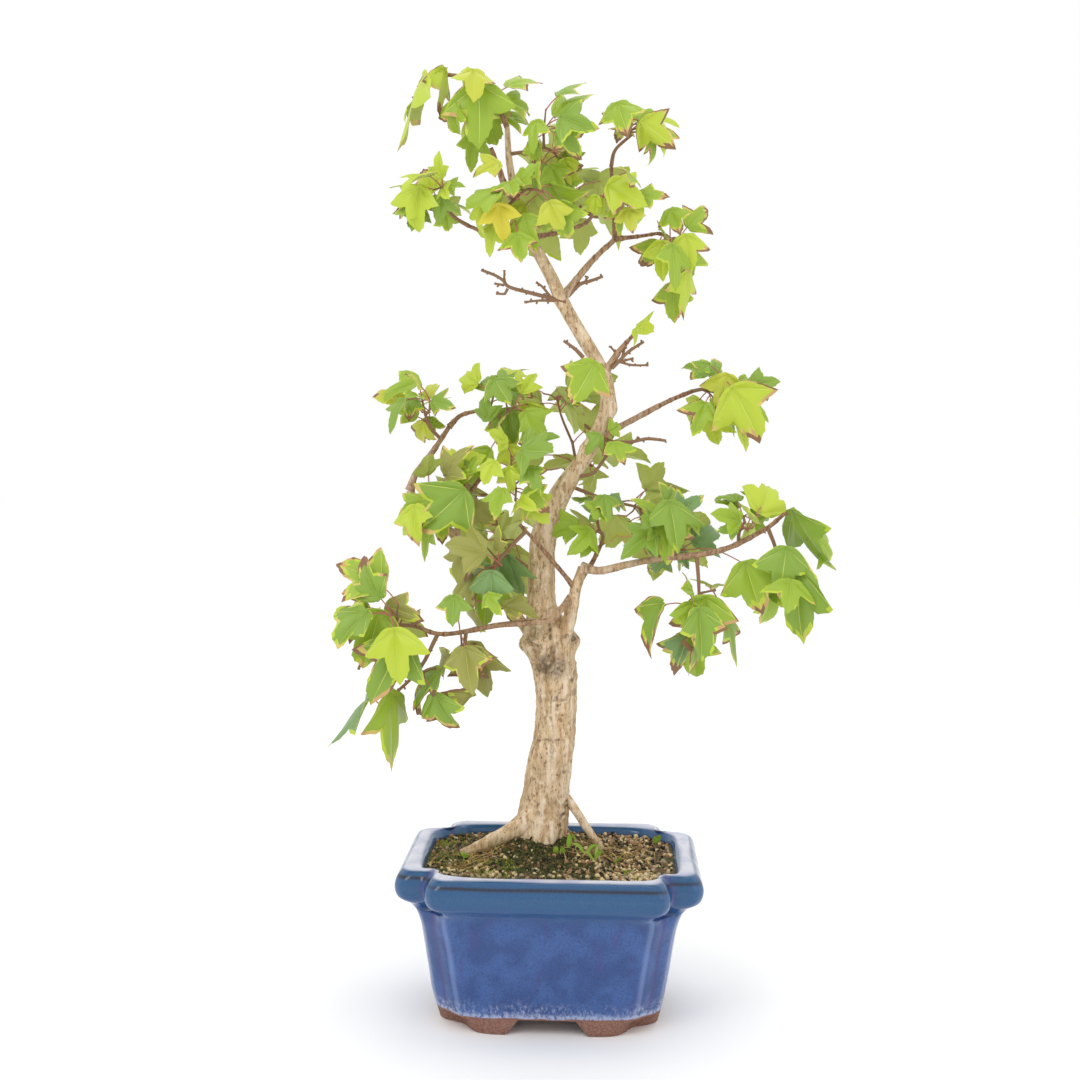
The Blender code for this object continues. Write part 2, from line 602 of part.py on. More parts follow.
def grow_twigs(mass, rng, stem, obstacles):
    """Twigs to spread-out places in the mass, each from the nearest point grown so far."""
    centre = np.array(mass.centre, float)
    radii = np.array(mass.radii, float)
    tips = []
    nodes = [stem[1] * (1 - t) + stem[2] * t for t in (0.2, 0.55, 0.9)]
    twigs = []
    for _ in range(mass.twigs):
        best = None
        for _ in range(14):
            spot = unit([rng.gauss(0, 1), rng.gauss(0, 1), rng.gauss(0.25, 1)])
            spot = spot * rng.uniform(0.3, 0.8)
            spread = min([np.linalg.norm(spot - other) for other in tips] + [9.0])
            if best is None or spread > best[0]:
                best = (spread, spot)
        spot = best[1]
        tip = centre + spot * radii
        near = min(nodes, key=lambda node: np.linalg.norm(node - tip))
        lift = np.array([rng.uniform(-0.1, 0.1), rng.uniform(-0.1, 0.1), rng.uniform(-0.05, 0.2)])
        length = np.linalg.norm(tip - near)
        path = np.array([near, (near + tip) / 2 + lift * length, tip])
        check = path[1:]
        if length < 4 or obstacles.clearance(check) < TWIG_MARGIN + TWIG_RADIUS:
            continue
        if not in_space(check, mass):
            continue
        tips.append(spot)
        twigs.append(path)
        nodes += [path[1], (path[1] + path[2]) / 2]
    return twigs


def leaf_try(mass, rng, twig, place, turn, shrink):
    """One leaf: its stalk's path and its blade, turned round the twig near its tip."""
    tip = twig[-1] - unit(twig[-1] - twig[-2]) * (place * NODE_STEP)
    ahead = unit(twig[-1] - twig[-2])
    one = unit(np.cross(ahead, (0.13, 0.27, 0.95)))
    two = np.cross(ahead, one)
    spread = math.radians(rng.uniform(25, 80))
    turn = turn + rng.uniform(-1.2, 1.2)
    out = ahead * math.cos(spread) + math.sin(spread) * (one * math.cos(turn)
                                                         + two * math.sin(turn))
    out = unit(out + np.array([0.0, 0.0, 0.25]))
    size = mass.leaf * rng.uniform(0.72, 1.22) * shrink
    stalk = size * rng.uniform(0.35, 0.7)
    hang = rng.uniform(-0.1, 0.95)
    base = tip + stalk * unit(out - np.array([0.0, 0.0, 0.25 * hang]))
    axis = unit(out * (1.0 - 0.8 * hang) + np.array([0.0, 0.0, -hang]))
    facing = 1.0 if mass.centre[1] > 40 else -1.0
    outward = np.array([0.6 * math.copysign(1, mass.centre[0]), facing, 0.0])
    up = (np.array([0.0, 0.0, 0.7]) + outward * rng.uniform(0.5, 1.6)
          + np.array([rng.uniform(-0.6, 0.6), rng.uniform(-0.4, 0.4), 0.0]))
    normal = unit(up - axis * np.dot(up, axis))
    side = np.cross(normal, axis)
    blade = (base, axis, side, normal, size, rng.uniform(0.0, 0.35), rng.uniform(0.0, 0.3))
    pull = (tip + base) / 2 + np.array([0.0, 0.0, 0.12 * stalk])
    return bend(tip, pull, base + axis * size * 0.03, 3), blade


def grow_mass(mass, obstacles, full=False):
    """Twigs, leaf stalks and blades of one mass, all inside its own space.

    A mass tries more places than it wants leaves; full keeps every leaf that finds room.
    """
    rng = random.Random(mass.seed)
    obstacles = obstacles.around(mass)
    stem = stem_path(mass)
    twigs = grow_twigs(mass, rng, stem, obstacles)
    carriers = twigs if twigs else [stem]
    stalks = []
    blades = []
    taken = []
    places = mass.leaves + (round(SPARE * mass.leaves) if mass.leaves > 2 else 0)
    for k in range(places):
        if len(blades) == mass.leaves and not full:
            break
        twig = carriers[k % len(carriers)]
        turn = 2.4 * k + math.pi * (k // len(carriers))
        for attempt in range(TRIES):
            shrink = 1.0 - 0.012 * attempt
            stalk, blade = leaf_try(mass, rng, twig, k // len(carriers), turn, shrink)
            spots = blade_samples(blade)
            if not sound_joint(stalk, blade):
                continue
            if not in_space(spots, mass) or not in_space(stalk[1:], mass):
                continue
            if obstacles.clearance(spots) < LIMB_MARGIN:
                continue
            if obstacles.clearance(stalk[1:]) < TWIG_MARGIN + STALK_WIDTH / 2:
                continue
            if taken:
                others = np.concatenate(taken)
                gap = np.linalg.norm(spots[:, None] - others[None], axis=2).min()
                if gap < BLADE_MARGIN:
                    continue
            taken.append(spots)
            stalks.append(stalk)
            blades.append(blade)
            break
    return stem, twigs, stalks, blades


def all_obstacles():
    """Trunk, boughs and every mass's stem, as capsules that foliage keeps clear of."""
    rows = []
    for name in ["trunk"] + [limb.name for limb in LIMBS]:
        path, radii = limb_path(name, 4)
        wide = radii + (4.0 if name == "trunk" else 0.0) * (path[:, 2] < 232)
        rows += segments_of(path, wide, name)
    for mass in MASSES:
        stem = stem_path(mass)
        rows += segments_of(stem, np.full(len(stem), STEM_RADIUS), mass.name)
    return Obstacles(rows)


def stalk_frame(stalk, blade):
    """Directions along a leaf's stalk, across it level with the blade, and off its face."""
    along = unit(stalk[-1] - stalk[0])
    across = unit(blade[2] - along * np.dot(blade[2], along))
    return along, across, np.cross(along, across)


def sound_joint(stalk, blade):
    """True when the stalk runs on into the blade without folding back or twisting over."""
    along, _, off = stalk_frame(stalk, blade)
    return (np.dot(along, blade[1]) > -0.25 and abs(np.dot(along, blade[2])) < 0.7
            and np.dot(off, blade[3]) > 0.0)


def leaf_solid(stalk, blade):
    """A leaf and its stalk as one thin closed plate, folded along the midrib."""
    base, axis, side, normal, size, fold, droop = blade
    edge = np.array(BLADE_EDGE[1:] + [(a, -b) for a, b in BLADE_EDGE[-2:0:-1]])
    rim = blade_points(blade, edge[:, 0], edge[:, 1])
    along, across, off = stalk_frame(stalk, blade)
    middle_off = unit(off + normal)
    middle_across = unit(across + side)
    mitre = LEAF_THICKNESS / 2 / max(np.dot(middle_off, normal), 0.7)
    left = base + middle_across * STALK_WIDTH / 2
    right = base - middle_across * STALK_WIDTH / 2
    root = stalk[0] + np.outer((-1.0, 1.0), across * STALK_ROOT / 2)
    flat = np.concatenate([[left], rim, [right], root])
    count = len(flat)
    lift = np.tile(normal * LEAF_THICKNESS / 2, (count, 1))
    lift[[0, count - 3]] = middle_off * mitre
    lift[-2:] = off * STALK_ROOT / 2
    points = np.concatenate([flat - lift, flat + lift])
    tip = len(BLADE_EDGE) - 1
    last = count - 3
    upper = [[0, last, tip], [0, count - 1, count - 2], [0, count - 2, last]]
    upper += [[0, i + 1, i] for i in range(1, tip)]
    upper += [[last, i, i - 1] for i in range(last - 1, tip, -1)]
    faces = upper + [[i + count for i in face[::-1]] for face in upper]
    faces += [[i, (i + 1) % count, (i + 1) % count + count, i + count] for i in range(count)]
    return points, faces


def build_mass(mass, obstacles):
    """One mass as one solid: the stem's root is cut clear of its limb, then all is joined."""
    stem, twigs, stalks, blades = grow_mass(mass, obstacles)
    radii = np.linspace(STEM_RADIUS, STEM_TIP_RADIUS, len(stem))
    body = make_object(mass.name, *tube(stem, radii, TWIG_SIDES))
    cutter = (build_trunk("clear", CLEAR) if mass.limb == "trunk"
              else limb_solid(mass.limb, CLEAR))
    combine(body, [cutter], "DIFFERENCE")
    clean(body)
    pieces = []
    for path in twigs:
        radii = np.linspace(TWIG_RADIUS, TIP_RADIUS, len(path))
        pieces.append(make_object("twig", *tube(path, radii, TWIG_SIDES)))
    for stalk, blade in zip(stalks, blades):
        pieces.append(make_object("leaf", *leaf_solid(stalk, blade)))
    combine(body, pieces, "UNION")
    scraps = clean(body)
    if mass.leaves:
        paint(body, mass.name + "_leaves", LEAF_GREEN, 0.6)
    else:
        paint(body, mass.name + "_bark", YOUNG_BARK, 0.85)
    return len(blades), scraps


def centre_on_ground():
    """Move everything so that the middle of the whole underside lies at the origin."""
    depsgraph = bpy.context.evaluated_depsgraph_get()
    low = Vector((1e9, 1e9, 1e9))
    high = -low
    for obj in bpy.data.objects:
        for vertex in obj.evaluated_get(depsgraph).data.vertices:
            low = Vector(map(min, low, vertex.co))
            high = Vector(map(max, high, vertex.co))
    shift = Vector(((low.x + high.x) / 2, (low.y + high.y) / 2, low.z))
    for obj in bpy.data.objects:
        obj.location = -shift
    return shift


def main():
    """Build the pot, the soil, the trunk and its boughs, then grow every mass on them."""
    for obj in list(bpy.data.objects):
        bpy.data.objects.remove(obj)
    build_pot()
    build_soil(build_trunk("clear", CLEAR))
    build_trunk()
    build_limbs()
    obstacles = all_obstacles()
    total = 0
    for mass in MASSES:
        leaves, scraps = build_mass(mass, obstacles)
        total += leaves
        print(mass.name, leaves, "leaves,", len(bpy.data.objects[mass.name].data.polygons),
              "triangles,", scraps, "scraps")
    print("leaves", total)
    shift = centre_on_ground()
    print("shift", [round(c * 1000, 2) for c in shift])


if __name__ == "__main__":
    main()
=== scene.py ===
# %% [markdown]
# # A trident maple bonsai in a blue glazed pot
# The real thing is three crafts in one: a slab pot with a thick glaze, a bed of gritty soil
# with moss, and a small tree whose bark, twigs and leaves all follow from how it grew. Each
# is worked out here as a surface of two parameters or by a rule of growth, in real
# millimetres, and laid over the solid model that gives the sizes.

# %% Load the solid model
import math
import random
from collections import namedtuple

import bpy
import numpy as np
from mathutils import Matrix, Vector


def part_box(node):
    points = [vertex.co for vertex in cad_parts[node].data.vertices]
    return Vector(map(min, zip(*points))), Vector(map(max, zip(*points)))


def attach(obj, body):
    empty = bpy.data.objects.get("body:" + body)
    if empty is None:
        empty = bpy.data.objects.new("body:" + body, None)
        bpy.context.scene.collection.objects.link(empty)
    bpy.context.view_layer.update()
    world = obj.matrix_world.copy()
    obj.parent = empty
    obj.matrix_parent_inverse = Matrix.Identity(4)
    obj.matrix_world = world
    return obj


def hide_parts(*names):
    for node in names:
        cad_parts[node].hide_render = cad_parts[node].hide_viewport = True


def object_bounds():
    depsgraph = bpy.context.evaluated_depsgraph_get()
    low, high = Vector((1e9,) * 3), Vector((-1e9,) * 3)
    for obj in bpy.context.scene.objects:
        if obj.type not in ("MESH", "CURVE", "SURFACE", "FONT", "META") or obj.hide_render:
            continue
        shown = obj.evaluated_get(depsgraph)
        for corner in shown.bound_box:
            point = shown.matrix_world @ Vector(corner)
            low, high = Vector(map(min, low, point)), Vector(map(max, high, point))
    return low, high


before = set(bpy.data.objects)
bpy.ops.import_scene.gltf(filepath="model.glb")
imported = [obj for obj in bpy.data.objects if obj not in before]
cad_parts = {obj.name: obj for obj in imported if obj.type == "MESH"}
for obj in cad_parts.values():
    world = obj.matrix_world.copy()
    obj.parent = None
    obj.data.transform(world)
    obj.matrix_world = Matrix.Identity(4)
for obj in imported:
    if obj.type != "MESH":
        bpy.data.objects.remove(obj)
cad_low, cad_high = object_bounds()
MM = 0.001
TINY = 1e-9                    # least length that is divided by
ROUND = 6.28                   # about a full turn in radians, for random directions
pot_low, pot_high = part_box("pot")
POT_CENTRE = np.array([(pot_low.x + pot_high.x) / 2, (pot_low.y + pot_high.y) / 2, 0.0])
print("solid model", [round((b - a) * 1000) for a, b in zip(cad_low, cad_high)], "mm")

# %% [markdown]
# ## Meshes from arrays
# Every piece below is a few numpy arrays: points in millimetres measured from the middle of
# the pot, and faces that index them. One function turns such arrays into an object whose
# place is in its mesh, so that patterns on object coordinates keep their scale.

# %% Turn arrays into an object
def mesh_piece(name, points, faces, materials, slots=None, smooth=True, sharp=None):
    """Object from points in mm and faces of 3 or 4 corners; a repeated corner makes a triangle.

    An edge between two points that are marked sharp is shaded as a crease.
    """
    faces = np.asarray(faces)
    if faces.shape[1] == 4:
        corners = np.where(faces[:, 3] == faces[:, 2], 3, 4)
        loops = faces[np.arange(4)[None] < corners[:, None]]
    else:
        corners = np.full(len(faces), 3)
        loops = faces.ravel()
    mesh = bpy.data.meshes.new(name)
    mesh.vertices.add(len(points))
    mesh.vertices.foreach_set("co", (np.asarray(points) * MM + POT_CENTRE).ravel())
    mesh.loops.add(len(loops))
    mesh.loops.foreach_set("vertex_index", loops.astype(np.int32))
    mesh.polygons.add(len(faces))
    starts = np.concatenate([[0], np.cumsum(corners)[:-1]])
    mesh.polygons.foreach_set("loop_start", starts.astype(np.int32))
    for material in materials:
        mesh.materials.append(material)
    if slots is not None:
        mesh.polygons.foreach_set("material_index", np.asarray(slots, np.int32))
    mesh.update(calc_edges=True)
    mesh.validate()
    if smooth:
        mesh.shade_smooth()
    if sharp is not None:
        ends = np.empty(2 * len(mesh.edges), np.int32)
        mesh.edges.foreach_get("vertices", ends)
        crease = mesh.attributes.new("sharp_edge", "BOOLEAN", "EDGE")
        crease.data.foreach_set("value", np.asarray(sharp)[ends.reshape(-1, 2)].all(axis=1))
    piece = bpy.data.objects.new(name, mesh)
    bpy.context.scene.collection.objects.link(piece)
    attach(piece, "root")
    print(name, len(points), "points", len(faces), "faces")
    return piece


def grid_faces(rows, columns, wrap=True):
    """Quads of a grid of points; wrap joins the last column to the first."""
    row = np.arange(rows - 1)[:, None] * columns
    column = np.arange(columns if wrap else columns - 1)[None]
    following = (column + 1) % columns
    quads = np.stack([row + column, row + following, row + columns + following,
                      row + columns + column], axis=-1)
    return quads.reshape(-1, 4)


def fan(ring, middle):
    """Triangles from a ring of point numbers to one middle point."""
    middles = np.full(len(ring), middle)
    return np.stack([ring, np.roll(ring, -1), middles, middles], axis=-1)


def capped(rings, first, last):
    """Points and faces of rings of points, closed by a fan to a point at each end."""
    rows, columns = rings.shape[:2]
    ring, count = np.arange(columns), rows * columns
    return (np.concatenate([rings.reshape(-1, 3), [first], [last]]),
            np.concatenate([grid_faces(rows, columns), fan(ring[::-1], count),
                            fan(ring + count - columns, count + 1)]))


def join(pieces):
    """One set of points and faces from several."""
    starts = np.cumsum([0] + [len(points) for points, _ in pieces[:-1]])
    return (np.concatenate([points for points, _ in pieces]),
            np.concatenate([faces + start for (_, faces), start in zip(pieces, starts)]))


def paint_points(piece, name, values):
    """Give each point a number that a material can read as an attribute."""
    attribute = piece.data.attributes.new(name, "FLOAT", "POINT")
    attribute.data.foreach_set("value", np.asarray(values, np.float32))


# %% [markdown]
# ## Roughness of natural things
# Fired clay, soil and bark are uneven at every scale. Value noise is the simplest such
# unevenness: random heights on a lattice, blended smoothly between its corners. Sums of it
# at falling sizes give the relief of bark and soil.

# %% Noise
def value_noise(points, size, seed=0):
    """Height from -1 to 1: lattice heights blended with the weight 3t² - 2t³ along each axis."""
    place = np.asarray(points, float) / size
    cell = np.floor(place).astype(np.int64)
    share = place - cell
    share = share * share * (3 - 2 * share)
    total = 0.0
    for corner in np.ndindex(2, 2, 2):
        key = (cell + corner) @ np.array([73856093, 19349663, 83492791]) + seed * 2654435
        key = (key ^ (key >> 13)) * 1274126177 & 0x7FFFFFFF
        key = (key ^ (key >> 16)) & 0xFFFF
        weight = np.prod(np.where(np.array(corner), share, 1 - share), axis=-1)
        total = total + weight * (key / 32767.5 - 1.0)
    return total


def rough(points, size, octaves, seed=0):
    """Sum of noises, each half as coarse and half as high as the one before."""
    return sum(value_noise(points, size / 2 ** k, seed + k) / 2 ** k for k in range(octaves))


# %% [markdown]
# ## Paths
# A stem is drawn as a few points that it passes through. A Catmull-Rom curve through them is
# smooth and bends only near a point that moves, so a stem is easy to correct.

# %% Paths and directions
def smooth_path(rows, steps):
    """Catmull-Rom curve through rows of numbers, with steps spans between two rows."""
    rows = np.asarray(rows, float)
    ends = np.vstack([2 * rows[0] - rows[1], rows, 2 * rows[-1] - rows[-2]])
    out = []
    for a, b, c, d in zip(ends, ends[1:], ends[2:], ends[3:]):
        for t in np.arange(steps) / steps:
            out.append(0.5 * (2 * b + (c - a) * t + (2 * a - 5 * b + 4 * c - d) * t ** 2
                              + (3 * b - a - 3 * c + d) * t ** 3))
    return np.array(out + [rows[-1]])


def run_along(path):
    """Length along a path from its start to each of its points."""
    return np.concatenate([[0], np.cumsum(np.linalg.norm(np.diff(path, axis=0), axis=1))])


def place_at(path, run, length):
    """The point of a path at a length along it, or one for each of several lengths."""
    return np.stack([np.interp(length, run, column) for column in path.T], axis=-1)


def unit(vector):
    """The vector divided by its length."""
    vector = np.asarray(vector, float)
    return vector / max(np.linalg.norm(vector), TINY)


def unit_rows(rows):
    """Each row divided by its length."""
    return rows / np.maximum(np.linalg.norm(rows, axis=-1, keepdims=True), TINY)


# %% [markdown]
# ## Colours and nodes
# Colours are written as sRGB hex values and turned to the linear numbers that a renderer
# mixes. One small function adds a node, so that a material reads as a short recipe.

# %% Colour and node helpers
def linear(code, alpha=1.0):
    """Linear colour of an sRGB hex value: ((c + 0.055) / 1.055) ** 2.4 above the toe."""
    parts = [int(code[i:i + 2], 16) / 255 for i in (1, 3, 5)]
    return tuple(c / 12.92 if c < 0.04045 else ((c + 0.055) / 1.055) ** 2.4
                 for c in parts) + (alpha,)


def add(tree, kind, inputs=None, **settings):
    """Add a node: settings are its properties, inputs are values or sockets to link from."""
    node = tree.nodes.new(kind)
    for key, value in settings.items():
        setattr(node, key, value)
    for key, value in (inputs or {}).items():
        if isinstance(value, bpy.types.NodeSocket):
            tree.links.new(value, node.inputs[key])
        else:
            node.inputs[key].default_value = value
    return node


def new_material(name, colour="#808080", roughness=0.5, **values):
    """A Principled material; values are its other sockets, by name with _ for spaces."""
    material = bpy.data.materials.new(name)
    material.use_nodes = True
    shader = material.node_tree.nodes["Principled BSDF"]
    shader.inputs["Base Color"].default_value = linear(colour)
    shader.inputs["Roughness"].default_value = roughness
    for key, value in values.items():
        shader.inputs[key.replace("_", " ")].default_value = value
    material.diffuse_color = linear(colour)
    return material


def colour_mix(tree, share, low, high, mode="MIX"):
    """Colour from low to high by share; low and high are sockets or hex values."""
    node = add(tree, "ShaderNodeMix", {0: share}, data_type="RGBA", blend_type=mode)
    for index, value in ((6, low), (7, high)):
        if isinstance(value, str):
            node.inputs[index].default_value = linear(value)
        else:
            tree.links.new(value, node.inputs[index])
    return node.outputs[2]


def ramp(tree, value, start, end, low=0.0, high=1.0):
    """A number that runs smoothly from low to high as value goes from start to end."""
    node = add(tree, "ShaderNodeMapRange", {"Value": value, "From Min": start, "From Max": end,
                                            "To Min": low, "To Max": high},
               interpolation_type="SMOOTHSTEP")
    return node.outputs["Result"]


def layered(tree, colour, layers):
    """Colour under layers of source, start, end, most and colour, each mixed in by its ramp."""
    for source, start, end, most, over in layers:
        colour = colour_mix(tree, ramp(tree, source, start, end, 0.0, most), colour, over)
    return colour


def palette(roughness, **colours):
    """Plain materials of one roughness."""
    return [new_material(name, colour, roughness) for name, colour in colours.items()]


def calc(tree, operation, one, two=0.0):
    """One Math node."""
    return add(tree, "ShaderNodeMath", {0: one, 1: two}, operation=operation).outputs[0]


def painted(tree, name):
    """A number that paint_points gave to each point."""
    return add(tree, "ShaderNodeAttribute", attribute_name=name).outputs["Fac"]


def object_noise(tree, size_mm, detail=3.0, stretch=(1.0, 1.0, 1.0), roughness=0.5):
    """Noise on object coordinates with features of size_mm, drawn out along an axis by stretch."""
    place = add(tree, "ShaderNodeTexCoord").outputs["Object"]
    scale = [1.0 / (size_mm * MM * s) for s in stretch]
    mapped = add(tree, "ShaderNodeMapping", {"Vector": place, "Scale": scale}).outputs[0]
    return add(tree, "ShaderNodeTexNoise", {"Vector": mapped, "Scale": 1.0, "Detail": detail,
                                            "Roughness": roughness}).outputs[0]


def height_mm(tree):
    """Height above the ground in millimetres."""
    place = add(tree, "ShaderNodeTexCoord").outputs["Object"]
    height = add(tree, "ShaderNodeSeparateXYZ", {0: place}).outputs["Z"]
    return calc(tree, "MULTIPLY", height, 1.0 / MM)


def bump(tree, shader, height, strength, depth_mm):
    """Shade the surface as if height, 0 to 1, stood out by depth_mm."""
    node = add(tree, "ShaderNodeBump", {"Height": height, "Strength": strength,
                                        "Distance": depth_mm * MM})
    tree.links.new(node.outputs[0], shader.inputs["Normal"])

# %% [markdown]
# ## The pot
# A slab pot in stoneware with a stepped-in corner, a rolled lip and four feet. One outline
# and one profile describe it: the outline is a rectangle with rounded steps cut out of its
# corners, the profile says how far in from the widest place the wall stands at each height.
# Carrying the outline along the profile gives walls, lip and inside in a single grid. The
# feet come from the same grid: its lowest rows rise where the gap between two feet is.

# %% Outline of the pot
HALF_WIDTH = (pot_high.x - pot_low.x) / 2 / MM
HALF_DEPTH = (pot_high.y - pot_low.y) / 2 / MM
RUNS = (22, 9, 4, 7, 4, 9, 26)     # points on each stretch of a quarter of the outline
EDGES = (0, 4, 0, -2, 0, 4, 0)     # how suddenly each turns, as a power; a crease is negative
OUTER_CORNER = (19.5, 8.0, 5.0)    # step, rounding of its two edges, rounding of its crease
INNER_CORNER = (13.0, 7.0, 6.0)
INNER_SOFT = 60                    # passes that soften the corners of the inner edge


def pot_outline(inset, corner):
    """Closed outline: straight runs and arcs of one quarter, mirrored to the other three."""
    x, y = HALF_WIDTH - inset, HALF_DEPTH - inset
    step, convex, crease = corner

    def line(start, end, count):
        share = np.arange(count)[:, None] / count
        return np.array(start) + (np.array(end) - np.array(start)) * share

    def arc(cx, cy, radius, start, end, count):
        angle = np.radians(start + (end - start) * np.arange(count) / count)
        return np.column_stack([cx + radius * np.cos(angle), cy + radius * np.sin(angle)])

    quarter = np.concatenate([
        line((x, 0), (x, y - step - convex), RUNS[0]),
        arc(x - convex, y - step - convex, convex, 0, 90, RUNS[1]),
        line((x - convex, y - step), (x - step + crease, y - step), RUNS[2]),
        arc(x - step + crease, y - step + crease, crease, 270, 180, RUNS[3]),
        line((x - step, y - step + crease), (x - step, y - convex), RUNS[4]),
        arc(x - step - convex, y - convex, convex, 0, 90, RUNS[5]),
        line((x - step - convex, y), (0, y), RUNS[6]),
        [(0, y)]])
    left = quarter[::-1] * (-1, 1)
    half = np.concatenate([quarter[:-1], left[:-1]])
    return np.concatenate([half, -half])


def edge_sharpness():
    """For each point of the outline: up to 1 on its convex edges, down to -1 in its creases."""
    quarter = np.concatenate([np.sign(edge) * np.sin(np.pi * (np.arange(count) + 0.5) / count)
                              ** abs(edge) for count, edge in zip(RUNS, EDGES)] + [[0]])
    half = np.concatenate([quarter[:-1], quarter[::-1][:-1]])
    return np.concatenate([half, half])


def softened(outline, passes):
    """The outline after moving each point towards its neighbours, passes times over."""
    for _ in range(passes):
        outline = (outline + np.roll(outline, 1, axis=0) + np.roll(outline, -1, axis=0)) / 3
    return outline


# %% Profile of the pot
# inset from the widest outline, and height: from the foot up the wall, over the lip, inside
WALL = [(22.4, 9.0), (21.5, 12.5), (19.6, 22.0), (16.5, 44.0), (13.8, 61.0), (10.8, 70.5),
        (8.0, 75.0), (4.4, 77.6), (1.8, 80.2), (0.4, 84.0), (0.2, 88.0), (1.3, 92.0),
        (3.6, 95.3), (6.4, 96.8), (10.0, 97.0), (13.2, 96.0), (15.4, 93.2), (16.4, 88.0),
        (17.5, 80.0), (30.0, 18.0)]
FOOT_OUTER, FOOT_INNER = 23.4, 33.2    # insets of the feet's outer and inner sides
FOOT_TOP, FOOT_JOIN = 9.0, 9.9
FOOT_SOFT = 45                         # passes that soften the corners of the feet
FLOOR_BELOW, FLOOR_TOP = 10.5, 18.0
FLOOR_GAP = 0.1                        # from the highest part of a foot's row to the floor
GAP_LOW, GAP_HIGH, GAP_HEIGHT = 24.0, 16.0, 9.8   # half widths of the gap, and its height
CHAMFER = 0.6
LIP_TOP, LIP_TOP_INSET = 96.9, 10.0    # past these the wall runs down inside
LIP_FROM = 85.0                # height from which the outline turns to that of the inner edge
LIP_INSET, LIP_RUN = 7.0, 6.0  # inset where that begins, and how far in it is complete
HUB = 0.02                     # size of the smallest ring of a flat part, as a share of the edge


def foot_bottom(ring):
    """Height of the foot's underside: 0, rising to the gap's height between two feet."""
    across = np.minimum(np.abs(ring[:, 0]), np.abs(ring[:, 1]))
    return np.clip((GAP_LOW - across) / (GAP_LOW - GAP_HIGH), 0, 1) * GAP_HEIGHT


def pot_surface():
    """Grid of rings from the middle of the underside, out, up, over the lip and down inside."""
    def flat(inset, height, corner=OUTER_CORNER, share=1.0):
        outline = pot_outline(inset, corner) * share
        return np.column_stack([outline, np.full(len(outline), height)])

    rings = [flat(FOOT_INNER + 1, FLOOR_BELOW, share=share) for share in (HUB, 0.5, 1.0)]
    for inset, rise in ((FOOT_INNER, CHAMFER), (FOOT_INNER - CHAMFER, 0.0),
                        (FOOT_OUTER + CHAMFER, 0.0), (FOOT_OUTER, CHAMFER)):
        ring = flat(inset, 0.0)
        ring[:, :2] = softened(ring[:, :2], FOOT_SOFT)
        ring[:, 2] = np.minimum(foot_bottom(ring) + rise, FLOOR_BELOW - FLOOR_GAP)
        rings.append(ring)
    edge = rings[-1]
    top = flat(WALL[0][0], FOOT_JOIN)
    rings += [edge + (top - edge) * share for share in (0.35, 0.7)]
    for inset, height in smooth_path(WALL, 5)[1:]:
        inside = height < LIP_TOP and inset > LIP_TOP_INSET
        blend = float(np.clip((inset - LIP_INSET) / LIP_RUN, 0, 1)) * (height > LIP_FROM or inside)
        corner = np.array(OUTER_CORNER) + (np.array(INNER_CORNER) - OUTER_CORNER) * blend
        ring = flat(inset, height, corner)
        ring[:, :2] = softened(ring[:, :2], round(INNER_SOFT * blend))
        rings.append(ring)
    rings += [flat(WALL[-1][0], FLOOR_TOP, INNER_CORNER, share) for share in (0.5, HUB)]
    return np.array(rings)


# %% [markdown]
# A hand-finished lip is never quite level or straight. Noise of a few centimetres' size,
# a few tenths of a millimetre high, moves the wall; the flat underside keeps still. Two
# numbers are stored with each point: how convex the outline is there, up on its edges where
# glaze runs thin and a highlight is painted, down in its creases where shade is painted, and
# the line on the lip's shoulder where it breaks to dark clay.

# %% Make the pot
LEVEL = (1, 1, 0)              # keeps x and y of a point, so that noise is the same at any height
WALL_SWAYS = ((0.55, 38.0, 3), (0.25, 11.0, 4))    # mm sideways, size in mm and seed
LIP_SWAY, LIP_SWAY_SIZE = 0.6, 30.0                # mm up and down, and its size
SHOULDER, SHOULDER_HALF = 92.6, 0.9                # height and half width of the dark line
INNER_ROWS = 32                                    # rows of the grid inside the lip


def make_pot(material):
    """The rings, swayed outwards by noise that fades in above the feet, and up at the lip."""
    rings = pot_surface()
    rows = len(rings)
    height = rings[..., 2]
    lift = np.clip((height - FOOT_TOP) / 12.0, 0, 1)
    outward = rings[..., :2] / np.maximum(np.linalg.norm(rings[..., :2], axis=2), 1)[..., None]
    sway = sum(most * value_noise(rings, size, seed) for most, size, seed in WALL_SWAYS)
    moved = rings.copy()
    moved[..., :2] += outward * (sway * lift)[..., None]
    moved[..., 2] += (LIP_SWAY * value_noise(rings * LEVEL, LIP_SWAY_SIZE, 5)
                      * np.clip((height - 60) / 30, 0, 1))
    pot = mesh_piece("glazed_pot", *capped(moved, (0, 0, FLOOR_BELOW), (0, 0, FLOOR_TOP)),
                     [material])
    inset = HALF_WIDTH - np.abs(rings[:, :1, 0])
    outside = (np.arange(rows)[:, None] < rows - INNER_ROWS) & (inset < 8)
    shoulder = np.exp(-((height - SHOULDER) / SHOULDER_HALF) ** 2) * outside
    shoulder *= np.clip(1.4 * value_noise(rings * LEVEL, 26.0, 6) + 0.9, 0.15, 1)
    paint_points(pot, "edge", np.append(np.tile(edge_sharpness(), rows), [0, 0]))
    paint_points(pot, "shoulder", np.append(shoulder.ravel(), [0, 0]))
    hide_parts("pot")
